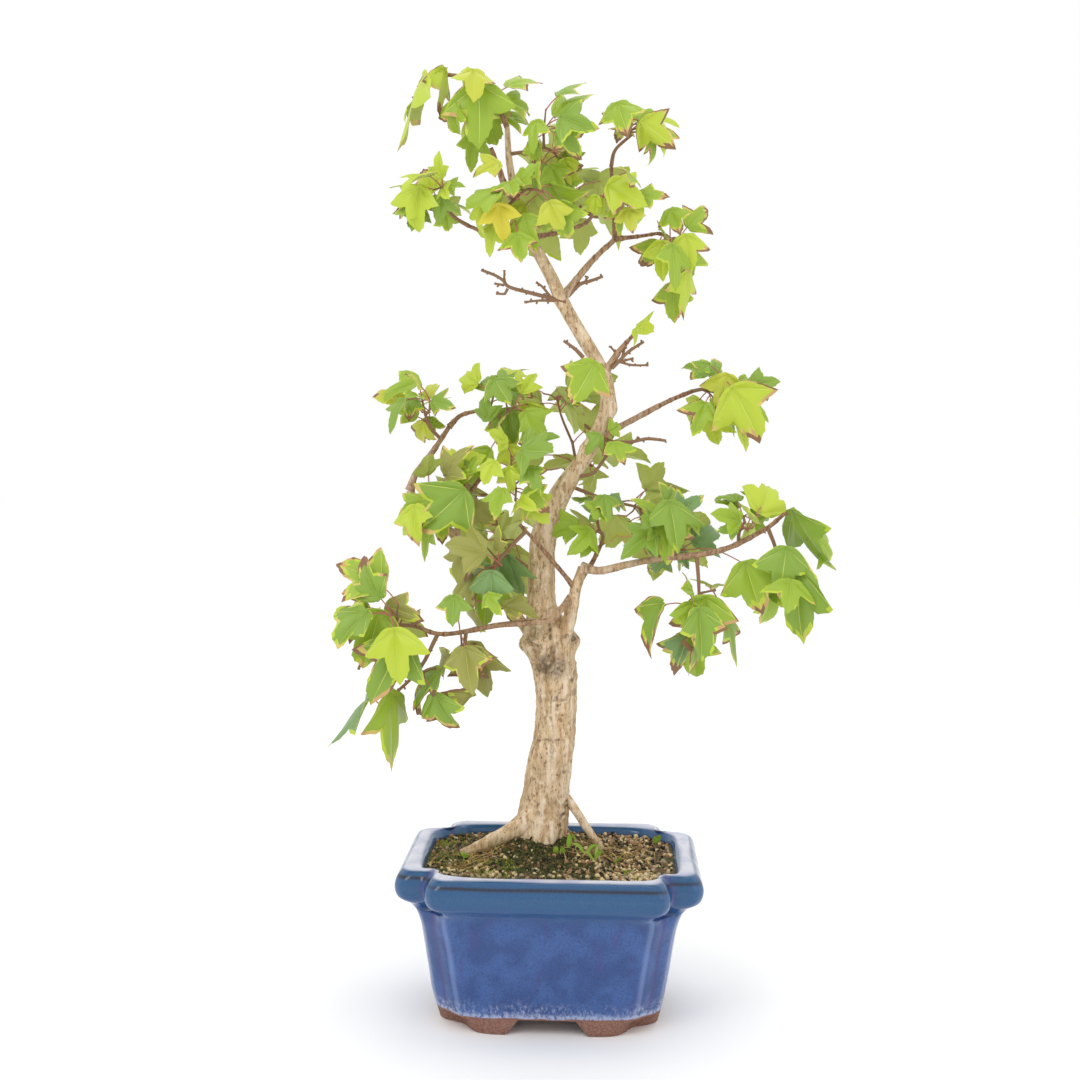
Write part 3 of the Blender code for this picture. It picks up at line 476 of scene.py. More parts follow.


# %% [markdown]
# Blue glaze over brown stoneware, dipped and fired. Where it lies thick it is deep blue, on
# edges it thins to milky lavender under a painted highlight, in creases it is darkened by
# painted shade, on the lip's shoulder it breaks to the dark body, and at the foot pale
# crystals form above the bare clay. The flat top of the lip is painted near white, a painted
# reflection of the bright studio overhead. Glaze is glass: IOR 1.5 and nearly smooth.

# %% Glaze over stoneware
def glazed_stoneware():
    """Blues mixed by noise and by height, thinned on edges under a painted highlight, with painted
    shade in creases and a painted reflection on the lip's top, broken at the shoulder and foot.
    """
    material = new_material("cobalt_glaze_on_stoneware", "#3c5a90", 0.14, IOR=1.5)
    tree = material.node_tree
    shader = tree.nodes["Principled BSDF"]
    height, edge_at, shoulder = height_mm(tree), painted(tree, "edge"), painted(tree, "shoulder")
    cloud = object_noise(tree, 16.0, 4.0)
    speck = object_noise(tree, 1.1, 3.0, roughness=0.65)
    streak = object_noise(tree, 7.0, 3.0, stretch=(1.0, 1.0, 8.0))
    colour = colour_mix(tree, ramp(tree, cloud, 0.35, 0.65), "#2b4982", "#3a5c98")
    lip_speck = colour_mix(tree, ramp(tree, speck, 0.4, 0.65), "#22577b", "#254878")
    # painted reflection: the lip's flat top is painted near white, as the glossy glaze mirrors the
    # bright studio
    lip_top_painted_reflection = colour_mix(tree, ramp(tree, cloud, 0.35, 0.6), "#c2c4dc", "#deddea")
    colour = layered(tree, colour, [
        (streak, 0.52, 0.7, 0.4, "#443f83"), (speck, 0.45, 0.65, 0.55, "#233866"),
        (height, 66.0, 80.0, 0.85, "#2a5483"), (height, 78.0, 86.0, 0.7, lip_speck),
        (height, 95.9, 97.0, 0.85, lip_top_painted_reflection)])
    # convex edges: glaze runs thin there, and the paler blue is also a painted highlight along
    # them
    thin_glaze_and_highlight = calc(tree, "MULTIPLY", ramp(tree, edge_at, 0.0, 1.1, 0.0, 0.34),
                ramp(tree, height, 84.0, 76.0, 0.25, 1.0))
    colour = colour_mix(tree, thin_glaze_and_highlight, colour, "#8ea3d2")
    # painted shade: the creases of the outline are darkened to deep violet
    colour = layered(tree, colour, [(edge_at, 0.0, -0.8, 0.6, "#3a3a78")])
    dark = calc(tree, "MULTIPLY", shoulder, ramp(tree, speck, 0.25, 0.5, 0.55, 1.0))
    colour = colour_mix(tree, dark, colour, "#231d1f")
    crystal_noise = object_noise(tree, 2.4, 5.0, stretch=(1.0, 1.0, 1.6), roughness=0.8)
    low = ramp(tree, calc(tree, "ADD", height, calc(tree, "MULTIPLY", cloud, 16.0)), 31.0, 19.0)
    crystal = calc(tree, "MULTIPLY", low, ramp(tree, crystal_noise, 0.46, 0.66))
    edge = calc(tree, "ADD", height, calc(tree, "MULTIPLY", object_noise(tree, 14.0), 3.0))
    milky = calc(tree, "MULTIPLY", ramp(tree, edge, 16.5, 12.8),
                 ramp(tree, crystal_noise, 0.35, 0.55))
    crystal = calc(tree, "MAXIMUM", crystal, milky)
    colour = colour_mix(tree, calc(tree, "MULTIPLY", crystal, 0.8), colour, "#b3bcd8")
    bare = ramp(tree, edge, 12.6, 11.9)
    clay = colour_mix(tree, ramp(tree, speck, 0.35, 0.65), "#765046", "#96705f")
    colour = colour_mix(tree, bare, colour, clay)
    tree.links.new(colour, shader.inputs["Base Color"])
    rough_glaze = calc(tree, "ADD", 0.10, calc(tree, "MULTIPLY", crystal, 0.35))
    tree.links.new(calc(tree, "MAXIMUM", rough_glaze, calc(tree, "MULTIPLY", bare, 0.85)),
                   shader.inputs["Roughness"])
    bump(tree, shader, calc(tree, "ADD", calc(tree, "MULTIPLY", cloud, 0.6), speck), 0.10, 0.5)
    return material


make_pot(glazed_stoneware())

# %% [markdown]
# ## The soil
# Bonsai grit is a mix of broken clay, pumice and bark, pressed into a low mound round the
# trunk and grown over with moss. The bed itself is one surface from the pot's inner wall to
# the middle, rough at two scales. Grit, moss and straw lie on it as small closed shapes.

# %% Shape of the soil
SOIL_LEVEL = 92.5
SOIL_FRONT_RISE = 1.6          # rise from the middle to the front wall
MOUND_CENTRE = np.array([-7.0, 6.0])
MOUND_HEIGHT, MOUND_RADIUS = 16.3, 34.0
SOIL_RINGS = 110
ROOT_LINE = np.array([(-20.0, -3.0), (-56.0, -14.0)])   # the soil is banked along this root
ROOT_RUN = ROOT_LINE[1] - ROOT_LINE[0]
BANK_HEIGHT, BANK_HALF = 1.5, 6.5
RIPPLE = 0.8
BED_DEPTH = 12.0               # how far the bed goes down between the walls


def soil_height(x, y):
    """A slope towards the front, a bell-shaped mound, a bank along a root and slow ripples."""
    away = np.hypot(x - MOUND_CENTRE[0], y - MOUND_CENTRE[1])
    mound = MOUND_HEIGHT * np.exp(-(away / MOUND_RADIUS) ** 2)
    over_root = np.clip((np.stack([x, y], -1) - ROOT_LINE[0]) @ ROOT_RUN
                        / (ROOT_RUN @ ROOT_RUN), 0, 1)[..., None] * ROOT_RUN + ROOT_LINE[0]
    beside = np.hypot(x - over_root[..., 0], y - over_root[..., 1])
    return (SOIL_LEVEL - SOIL_FRONT_RISE * y / HALF_DEPTH + mound
            + BANK_HEIGHT * np.exp(-(beside / BANK_HALF) ** 2)
            + RIPPLE * np.sin(0.17 * x + 1.3) * np.cos(0.21 * y))


def inner_inset(height):
    """Inset of the pot's inner wall at a height."""
    insets, heights = zip(*WALL[:-6:-1])
    return float(np.interp(height, heights, insets))


def soil_rim():
    """Outline of the pot's opening at the soil's level."""
    return softened(pot_outline(inner_inset(SOIL_LEVEL) - 0.3, INNER_CORNER), INNER_SOFT)


def soil_spot(share, turn):
    """Point of the soil's surface: share 0 to 1 from the middle to the wall, turn 0 to 1."""
    rim = soil_rim()
    edge = rim[(np.asarray(turn) * len(rim)).astype(int) % len(rim)]
    place = MOUND_CENTRE + (edge - MOUND_CENTRE) * np.asarray(share)[..., None]
    return np.concatenate([place, soil_height(*place.T)[:, None]], axis=1)


def make_soil(material):
    """Rings that shrink from the wall to the mound's middle, raised by two sizes of noise."""
    rim = soil_rim()
    share = (1 - np.arange(SOIL_RINGS) / SOIL_RINGS)[:, None, None]
    place = MOUND_CENTRE + (rim - MOUND_CENTRE)[None] * share
    height = soil_height(place[..., 0], place[..., 1])
    top = np.concatenate([place, height[..., None]], axis=2)
    relief = 0.55 * rough(top * LEVEL, 6.0, 2, 21) + 0.4 * rough(top * LEVEL, 1.6, 2, 25)
    top[..., 2] += relief * np.clip((1 - share[..., 0]) * 8, 0.3, 1)
    wall = top[:1].copy()
    wall[..., 2] = SOIL_LEVEL - BED_DEPTH
    wall[..., :2] -= np.sign(wall[..., :2]) * 1.5
    points, faces = capped(np.concatenate([wall, top]), (*MOUND_CENTRE, SOIL_LEVEL - BED_DEPTH),
                           (*MOUND_CENTRE, soil_height(*MOUND_CENTRE)))
    soil = mesh_piece("soil_bed", points, faces, [material])
    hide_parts("soil")


# %% [markdown]
# Damp mineral soil is a matt mixture: dark humus between grains of brown clay and pale
# pumice about 1 to 3 mm across, with a film of moss on the mound.

# %% Soil material
def damp_soil():
    """Humus to clay by a fine noise, pumice at its peaks, and moss in patches."""
    material = new_material("damp_mineral_soil", "#3a3020", 0.95)
    tree = material.node_tree
    shader = tree.nodes["Principled BSDF"]
    grain = object_noise(tree, 1.8, 4.0, roughness=0.7)
    patch = object_noise(tree, 14.0, 3.0)
    colour = colour_mix(tree, ramp(tree, grain, 0.35, 0.6), "#241d11", "#755f3e")
    moss = colour_mix(tree, ramp(tree, grain, 0.4, 0.65), "#1f240a", "#5c6122")
    colour = layered(tree, colour, [(grain, 0.6, 0.72, 0.8, "#a48c68"),
                                    (patch, 0.4, 0.55, 0.85, moss)])
    tree.links.new(colour, shader.inputs["Base Color"])
    bump(tree, shader, grain, 0.6, 1.0)
    return material


make_soil(damp_soil())

# %% [markdown]
# ## Grit, moss, straw and seedlings
# What the eye reads as soil is thousands of loose bits: broken clay and pumice, moss, and the
# straw-like roots of an old moss mat. Each kind is one small closed shape, turned and sized
# at random, with all its copies computed together as one array. More pebbles lie at the right
# and along the front wall, the moss is dark round the trunk and bright at the left.

# %% Scatter
def scattered(rng, count):
    """Random places on the soil, spread evenly over its area."""
    return soil_spot(np.sqrt(rng.uniform(0.0, 0.96, count)), rng.uniform(0, 1, count))


def turned(rng, count):
    """Random rotations: the orthogonal factor of random matrices, with determinant 1."""
    turns = np.linalg.qr(rng.normal(size=(count, 3, 3)))[0]
    turns[:, :, 0] *= np.sign(np.linalg.det(turns))[:, None]
    return turns


def copies(faces, count, size):
    """Faces of count copies of a shape of size points."""
    return (faces[None] + size * np.arange(count)[:, None, None]).reshape(-1, faces.shape[1])


# %% Grit
GOLDEN = (1 + 5 ** 0.5) / 2
GRAIN = np.array([(-1, GOLDEN, 0), (1, GOLDEN, 0), (-1, -GOLDEN, 0), (1, -GOLDEN, 0),
                  (0, -1, GOLDEN), (0, 1, GOLDEN), (0, -1, -GOLDEN), (0, 1, -GOLDEN),
                  (GOLDEN, 0, -1), (GOLDEN, 0, 1), (-GOLDEN, 0, -1), (-GOLDEN, 0, 1)]) / 1.9
GRAIN_FACES = np.array([(0, 11, 5), (0, 5, 1), (0, 1, 7), (0, 7, 10), (0, 10, 11), (1, 5, 9),
                        (5, 11, 4), (11, 10, 2), (10, 7, 6), (7, 1, 8), (3, 9, 4), (3, 4, 2),
                        (3, 2, 6), (3, 6, 8), (3, 8, 9), (4, 9, 5), (2, 4, 11), (6, 2, 10),
                        (8, 6, 7), (9, 8, 1)])
PUMICE, CLAY, BARK_BIT, GRAVEL, BRICK, MOSSY = range(6)
GRIT_COUNT = 3000
FRONT_WALL_Y, FRONT_BAND = -47, 9      # pebbles gather along the front wall
GRIT_LARGEST = 1.7                     # mm, half width
GRIT_SINK = 0.25                       # how high a grain's middle lies, in half widths


def make_grit():
    """Icosahedra with each corner moved in or out, squashed, turned and sized at random."""
    rng = np.random.default_rng(11)
    spots = scattered(rng, GRIT_COUNT)
    at_wall = np.abs(spots[:, 1] - FRONT_WALL_Y) < FRONT_BAND
    right = np.clip((spots[:, 0] - 4) / 30, 0, 1)
    size = rng.gamma(2.0, 0.28, GRIT_COUNT) + 0.30 + 0.35 * right + 0.25 * at_wall
    size = np.minimum(size, GRIT_LARGEST)[:, None, None]
    shape = GRAIN[None] * (1 + rng.uniform(-0.32, 0.32, (GRIT_COUNT, 12, 1)))
    shape = shape * rng.uniform(0.6, 1.1, (GRIT_COUNT, 1, 3)) * size
    shape = np.einsum("nij,nkj->nki", turned(rng, GRIT_COUNT), shape)
    points = spots[:, None] + shape + np.array([0, 0, GRIT_SINK]) * size
    pale = np.clip(0.18 + 0.35 * right + 0.4 * at_wall, 0, 0.8)
    green = 0.30 * (1 - right)
    pick = rng.uniform(0, 1, GRIT_COUNT)
    light = rng.choice([PUMICE, PUMICE, CLAY, GRAVEL, GRAVEL], GRIT_COUNT)
    dark = rng.choice([CLAY, BARK_BIT, BARK_BIT, BRICK], GRIT_COUNT)
    kind = np.where(pick < pale, light, np.where(pick < pale + green, MOSSY, dark))
    materials = palette(0.9, grit_pumice="#d6c090", grit_clay="#9a7750", grit_bark="#211a10",
                        grit_gravel="#a8977a", grit_brick="#85634a", grit_moss="#3c4516")
    grit = mesh_piece("soil_grit", points.reshape(-1, 3), copies(GRAIN_FACES, GRIT_COUNT, 12),
                      materials, np.repeat(kind, len(GRAIN_FACES)), smooth=False)
    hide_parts("soil")


make_grit()

# %% Moss
SPIKE_ANGLES = (0, 2.1, 4.2)   # radians, of a spike's three sides
SPIKE_FACES = np.array([(0, 1, 3), (1, 2, 3), (2, 0, 3), (0, 2, 1)])
MOSS_COUNT, MOSS_DRY_SHARE = 6500, 0.25
# x, y and radius of each patch, and 1 where the moss is bright
MOSS_PATCHES = [(-58, -12, 16, 1), (-40, 20, 14, 0), (-8, -18, 32, 0), (6, -32, 30, 0),
                (0, -12, 22, 0), (22, 0, 14, 0), (-30, -34, 18, 1), (50, -38, 12, 1),
                (-66, 26, 12, 1)]


def make_moss():
    """Three-sided spikes, thickest in the middle of each patch by exp(-(r / R)²)."""
    rng = np.random.default_rng(12)
    spots = scattered(rng, 4 * MOSS_COUNT)
    patches = np.array(MOSS_PATCHES, float)
    away = np.hypot(spots[:, None, 0] - patches[:, 0], spots[:, None, 1] - patches[:, 1])
    near = np.exp(-(away / patches[:, 2]) ** 2) * (1 + 0.6 * value_noise(spots, 5.0, 61))[:, None]
    kept = np.flatnonzero(near.max(axis=1) > rng.uniform(0.1, 1.0, len(spots)))[:MOSS_COUNT]
    spots, bright = spots[kept], patches[near[kept].argmax(axis=1), 3]
    count = len(spots)
    turn = rng.uniform(0, ROUND, (count, 1)) + np.array(SPIKE_ANGLES)
    width = rng.uniform(0.2, 0.42, (count, 1))
    foot = np.stack([np.cos(turn) * width, np.sin(turn) * width, 0 * turn - 0.4], axis=-1)
    lean = rng.normal(0, 0.55, (count, 1, 2))
    tall = rng.uniform(0.7, 1.5, (count, 1, 1))
    tip = np.concatenate([lean * tall, tall], axis=2)
    points = (spots[:, None] + np.concatenate([foot, tip], axis=1)).reshape(-1, 3)
    kind = np.where(rng.uniform(size=count) < MOSS_DRY_SHARE, 2, bright).astype(int)
    materials = palette(0.9, moss_dark="#2b340f", moss_bright="#9aab34", moss_dry="#6d6a33")
    moss = mesh_piece("moss", points, copies(SPIKE_FACES, count, 4), materials,
                      np.repeat(kind, 4), smooth=False)
    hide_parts("soil")


make_moss()

# %% Straw
STRAW_COUNT, STRAW_STEPS = 430, 7
STRAW_SIDES = (0.5, 2.6, 4.7)  # radians, of a fibre's three sides
STRAW_STARTS, STRAW_SPACE = ((-66, -44), (60, 40)), ((-70, -47), (63, 43))   # within the walls
STRAW_PATCHES = [(24, 2, 13), (32, -14, 14), (20, -8, 11), (-30, -2, 10), (-42, -14, 10),
                 (44, 10, 16), (-50, -28, 12)]     # x, y and radius


def make_straw():
    """Bent three-sided fibres that follow the soil and arch a little above it."""
    rng = np.random.default_rng(13)
    patches = np.array(STRAW_PATCHES, float)[rng.integers(len(STRAW_PATCHES), size=STRAW_COUNT)]
    start = patches[:, :2] + rng.normal(0, 0.6, (STRAW_COUNT, 2)) * patches[:, 2:]
    start = np.clip(start, *STRAW_STARTS)
    turn = rng.uniform(0, ROUND, STRAW_COUNT)
    length = rng.uniform(5, 22, STRAW_COUNT)
    ahead = np.stack([np.cos(turn), np.sin(turn)], -1) * length[:, None]
    aside = np.stack([-ahead[:, 1], ahead[:, 0]], -1) * rng.normal(0, 0.22, (STRAW_COUNT, 1))
    t = np.linspace(0, 1, STRAW_STEPS)[None, :, None]
    flat = start[:, None] + ahead[:, None] * t + aside[:, None] * (4 * t * (1 - t))
    flat = np.clip(flat, *STRAW_SPACE)
    arch = rng.uniform(0.1, 0.9, (STRAW_COUNT, 1)) * np.sin(math.pi * t[..., 0])
    height = soil_height(flat[..., 0], flat[..., 1]) + 0.5 + arch
    path = np.concatenate([flat, height[..., None]], axis=2)
    side = unit_rows(aside + 1e-6)[:, None] * np.ones((1, STRAW_STEPS, 1))
    side = np.concatenate([side, 0 * side[..., :1]], axis=2)
    radius = rng.uniform(0.16, 0.34, (STRAW_COUNT, 1, 1)) * (1 - 0.5 * t)
    angles = np.array(STRAW_SIDES)[:, None]
    ring = path[:, :, None] + radius[..., None] * (np.cos(angles) * side[:, :, None]
                                                   + np.sin(angles) * np.array([0, 0, 1.0]))
    faces = np.concatenate([grid_faces(STRAW_STEPS, 3), [(2, 1, 0, 0)],
                            [(0, 1, 2, 2)] + np.full((1, 4), 3 * (STRAW_STEPS - 1))])
    materials = palette(0.8, straw_pale="#dcc07a", straw_brown="#a08143", straw_root="#6d5331")
    kind = rng.choice([0, 0, 1, 1, 2], STRAW_COUNT)
    straw = mesh_piece("straw", ring.reshape(-1, 3), copies(faces, STRAW_COUNT, 3 * STRAW_STEPS),
                       materials, np.repeat(kind, len(faces)))
    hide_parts("soil")


make_straw()

# %% Seedlings
# foot x, y, then the blade's reach x, y, z, its width and how far it bows over, all in mm
SEEDLINGS = [(10.5, -14, 1, -1, 10, 2.8, 1.0), (20.4, -16, -8, -3, 7, 1.8, 2.5),
             (20.8, -16, 8, -2, 6, 1.8, 2.5), (26.4, -21, 6, -4, 7, 1.9, 3.0),
             (26.0, -21, -7, -3, 6, 1.6, 2.5), (27.0, -20, 1, 3, 9, 1.6, 1.5),
             (4.7, -20, -3, -4, 3, 4.2, 1.5), (6.0, -20, 3, -3, 3, 3.8, 1.2),
             (66, 40, -3, -3, 5, 3.4, 1.2), (65, 41, 3, -2, 6, 3.2, 1.0),
             (15.0, -2.0, -3, -4, 6, 1.4, 2.0), (-52, -20, 3, -3, 4, 2.6, 1.0),
             (-50, -19, -4, -2, 4, 2.6, 1.0), (38, -20, 4, -4, 5, 1.2, 1.5)]
BLADE_GRID = (10, 5)           # points along and across a blade
SEEDLING_HALF = 0.08           # half thickness


def seedling_blade(x, y, dx, dy, dz, width, bow):
    """A lens-shaped blade: a grid along and across with an upper and a lower skin."""
    rows, columns = BLADE_GRID
    t, s = np.meshgrid(np.linspace(0, 1, rows), np.linspace(-1, 1, columns), indexing="ij")
    foot = np.array([x, y, soil_height(x, y) - 0.5])
    reach = np.array([dx, dy, dz], float)
    across = unit(np.cross(reach, (0.2, -1.0, 0.3)))
    half = width / 2 * np.sin(math.pi * (0.06 + 0.94 * t) ** 0.8) + 0.12
    arch = (bow * np.sin(math.pi * t))[..., None] * np.array([0, 0, 1])
    skin = foot + t[..., None] * reach + arch + (s * half)[..., None] * across
    face = unit(np.cross(across, reach))
    skin = skin - (0.25 * half * s ** 2)[..., None] * face
    points = np.concatenate([(skin + side * face).reshape(-1, 3)
                             for side in (SEEDLING_HALF, -SEEDLING_HALF)])
    top, count = grid_faces(rows, columns, wrap=False), rows * columns
    edge = np.concatenate([np.arange(0, count, columns), np.arange(count - columns + 1, count),
                           np.arange(count - columns - 1, 0, -columns),
                           np.arange(columns - 2, 0, -1)])
    following = np.roll(edge, -1)
    rim = np.stack([edge, edge + count, following + count, following], -1)
    return points, np.concatenate([top[:, ::-1], top + count, rim[:, ::-1]])


points, faces = join([seedling_blade(*row) for row in SEEDLINGS])
seedlings = mesh_piece("seedlings", points, faces, palette(0.5, seedling_leaf="#8fb33c"))
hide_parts("soil")

# %% [markdown]
# ## The trunk
# A young maple's trunk tapers, leans and swells at the foot, and old pruning has left burls.
# Its surface is a tube of two parameters, the angle round it and the place along a curve:
# the radius follows the taper, then each burl, knot, crease and ridge adds its own bump.

# %% The trunk's curve and its marks
GROUND_CUT = 103.0
TRUNK = [(-8, 6, 103, 16.5), (-6, 6, 112, 15.4), (-4, 6, 126, 14.6), (-2, 5, 148, 13.7),
         (1, 4, 168, 12.7), (2, 4, 190, 12.4), (0, 4, 208, 13.2), (-3, 5, 224, 14.0),
         (-6, 6, 237, 11.6), (-8, 6, 250, 8.6), (-8, 6, 272, 8.1), (-6, 5, 292, 7.8),
         (4, 2, 316, 6.2), (20, 1, 341, 4.6), (30, 4, 364, 4.7), (30, 7, 380, 4.3),
         (24, 8, 394, 4.1), (6, 8, 424, 3.9), (-5, 7, 446, 3.7), (-22, 6, 478, 3.0),
         (-29, 4, 508, 2.2), (-31, 2, 532, 1.5)]
FLARE_HEIGHT, FLARE = 9.0, 0.30
# angle round the trunk from +X, height, how far it stands out, half height
BURLS = [(188, 226, 4.6, 6.0), (12, 222, 5.2, 6.5), (250, 216, 2.4, 7.0), (95, 222, 3.0, 7.0),
         (150, 341, 1.6, 4.0), (0, 366, 1.8, 4.0), (200, 432, 1.4, 4.0)]
# scars of cut branches: angle, height, radius of the callus ring, its height, depth of the eye
KNOTS = [(318, 226, 3.4, 1.6, 2.2), (306, 192, 1.9, 0.6, 1.8), (296, 238, 5.0, 2.2, 1.0),
         (232, 232, 5.0, 2.4, 0.8), (238, 222, 4.0, 2.0, 0.8), (330, 126, 3.4, 0.9, 0.3),
         (20, 205, 4.0, 1.2, 0.6), (130, 214, 5.0, 1.5, 0.8), (255, 262, 3.0, 0.6, 1.0)]
# rings across the bark: height, tilt in mm per mm across, depth, centre angle, half width
CREASES = [(181, 0.05, 0.9, 265, 35), (145, 0.12, 0.5, 250, 60), (127, -0.1, 0.6, 240, 50),
           (232, 0.5, 1.8, 285, 22), (208, -0.7, 1.6, 290, 30), (300, 0.1, 0.5, 260, 80)]
ROOTS = {
    "left": [(-8, 0, 120, 8.0), (-23, -4, 109.5, 5.6), (-38, -9, 103, 4.2), (-54, -13, 96.5, 3.0)],
    "right": [(5, 4, 131, 4.0), (13, 2, 123, 2.7), (22, 0, 110, 2.5), (31, -3, 98, 2.2)],
    "front": [(-2, -3, 114, 7.5), (-2, -8, 107, 5.5), (-3, -12, 98, 3.0)],
    "back": [(-2, 14, 110, 6.0), (5, 26, 103, 3.8), (11, 37, 95, 2.4)],
}
TRUNK_AROUND, TRUNK_STEPS = 120, 24
STAIN_CENTRE, STAIN_HALF = (-1.5, 211), (10.5, 8.5)    # x and height of the darkest patch
STAIN_DEPTH = 0.9              # how far dark marks are sunk
STAIN_TOP = 234                # height above which boughs are clean
# on the front of the trunk, seen from ahead: x and height along each crack; rings as x, height,
# radius and how dark
DARK_LINES = [[(-2.7, 237), (-1.8, 229), (-0.8, 223), (-1, 217)],
              [(10.5, 232), (4, 227.5), (1, 222), (0, 216)],
              [(-16, 227), (-10, 224), (-5, 221)], [(-8, 165), (-3, 166.4), (7, 166)],
              [(-3, 190.5), (0, 190.1), (3, 190.6), (7, 190.3)],
              [(7.5, 135), (7.5, 129), (6, 121), (5, 113)], [(8.5, 133), (8.8, 128), (7, 120)]]
DARK_RINGS = [(11.8, 227, 1.0, 0.9), (11.8, 227, 3.0, 0.35), (11.1, 202.2, 0.3, 0.9),
              (6.9, 146, 0.4, 0.7), (13.5, 206, 1.2, 0.4), (12.5, 194, 1.0, 0.5),
              (4.6, 238, 3.6, 0.4), (4.8, 239, 1.4, 0.3), (-11, 231, 3.0, 0.3),
              (-10, 222, 2.4, 0.35), (-8.5, 190.4, 0.6, 0.5), (2.6, 184.8, 0.2, 0.5),
              (-7, 146, 2.0, 0.2), (-8.3, 121, 0.8, 0.5)]

# %% [markdown]
# A tube needs two directions across it at each point of its path. Carried along from point
# to point, and only leant as the path turns, they never twist the tube.

# %% Tubes
def angle_from(angles, degrees):
    """Signed angle in radians from a direction given in degrees, -pi to pi."""
    return (angles - math.radians(degrees) + math.pi) % (2 * math.pi) - math.pi


def frames(path):
    """Two unit vectors across the path at each point, carried along it without twist."""
    tangents = [unit(tangent) for tangent in np.gradient(path, axis=0)]
    side = np.cross(tangents[0], (0.0, 1.0, 0.0))
    if np.linalg.norm(side) < 0.1:
        side = np.cross(tangents[0], (1.0, 0.0, 0.0))
    out = []
    for tangent in tangents:
        side = unit(side - tangent * np.dot(side, tangent))
        out.append((side, np.cross(tangent, side)))
    return np.array(out).transpose(1, 0, 2)


def around(count):
    """Angles of count points spread round a circle."""
    return np.arange(count) * 2 * math.pi / count


def rings_round(path, radii, angles, one, two):
    """Rings of points round a path: p + r cos(a) one + r sin(a) two."""
    return (path[:, None] + (radii * np.cos(angles))[..., None] * one[:, None]
            + (radii * np.sin(angles))[..., None] * two[:, None])


def tube(path, radii, sides):
    """Closed tube: rings of points round the path and a point at each end."""
    radii = np.asarray(radii, float).reshape(len(path), -1) + np.zeros(sides)
    return capped(rings_round(path, radii, around(sides), *frames(path)), path[0], path[-1])


# %% [markdown]
# Each mark is a bell curve of the distance from its place: positive for a burl or the ring
# of callus round a cut, negative for the cut's eye, a crease or a crack.

# %% Relief of the trunk
def trunk_radius(rows, angles):
    """Radius at each row and angle: taper, flared foot with root ridges, burls and marks."""
    height = rows[:, 2, None]
    radius = rows[:, 3, None] + np.zeros(len(angles))
    flare = FLARE * np.exp(-np.maximum(height - GROUND_CUT, 0) / FLARE_HEIGHT)
    leftward = 0.62 - 0.5 * np.cos(angles)
    radius = radius * (1 + flare * leftward * (0.6 + 0.6 * np.cos(2.5 * angles + 0.6) ** 2))
    for direction, level, stand, half in BURLS:
        turn = angle_from(angles, direction)
        radius = radius + stand * np.exp(-(turn / 0.6) ** 2 - ((height - level) / half) ** 2)
    smooth = radius
    for direction, level, ring, stand, eye in KNOTS:
        across = angle_from(angles, direction) * smooth
        away = np.hypot(across, (height - level) * 0.85)
        radius = radius + stand * np.exp(-((away - ring) / (0.38 * ring)) ** 2)
        radius = radius - eye * np.exp(-(away / (0.55 * ring)) ** 2)
    for level, tilt, depth, direction, half in CREASES:
        turn = angle_from(angles, direction)
        line = height - level - tilt * turn * smooth
        radius = radius - depth * np.exp(-(line / 0.8) ** 2 - (turn / math.radians(half)) ** 2)
    return radius


def bark_relief(points, angles, radius, height):
    """Ridges that run up the stem, lens-shaped pores and fine grain, in mm outwards."""
    rolled = np.stack([np.cos(angles) * radius, np.sin(angles) * radius, height / 7.0], axis=-1)
    ridge = value_noise(rolled, 3.1, 41) + 0.5 * value_noise(rolled, 1.5, 42)
    grain = rough(points, 2.4, 2, 43)
    lump = value_noise(points, 9.0, 47)
    thick = np.clip(radius / 12.0, 0.12, 1.0)
    return thick * (0.42 * ridge + 0.30 * grain + 0.55 * lump)


def stained(points):
    """0 to 1 where old cuts, cracks and pits on the trunk's front have gone dark."""
    front = np.clip((8 - points[:, 1]) / 4, 0, 1)
    place = points[:, [0, 2]]
    speck = value_noise(points, 1.3, 44) + 0.7 * value_noise(points, 3.1, 45)
    patch = np.exp(-(((place - STAIN_CENTRE) / STAIN_HALF) ** 2 @ np.ones(2)) ** 2)
    total = patch * np.clip(0.72 + 0.55 * speck, 0.2, 1)
    broken = np.clip(0.6 + 1.1 * value_noise(points, 1.7, 46), 0, 1)
    for line in DARK_LINES:
        line = np.array(line, float)
        for start, end in zip(line, line[1:]):
            run = end - start
            along = np.clip((place - start) @ run / (run @ run), 0, 1)[:, None]
            away = np.linalg.norm(place - start - along * run, axis=1)
            away = away + 0.5 * value_noise(points, 2.6, 48)
            total = np.maximum(total, broken * np.exp(-(away / 0.8) ** 2))
    for x, height, ring, fade in DARK_RINGS:
        away = np.abs(np.hypot(place[:, 0] - x, place[:, 1] - height) - ring)
        total = np.maximum(total, fade * np.exp(-(away / 0.9) ** 2))
    return np.clip(total, 0, 1) * front


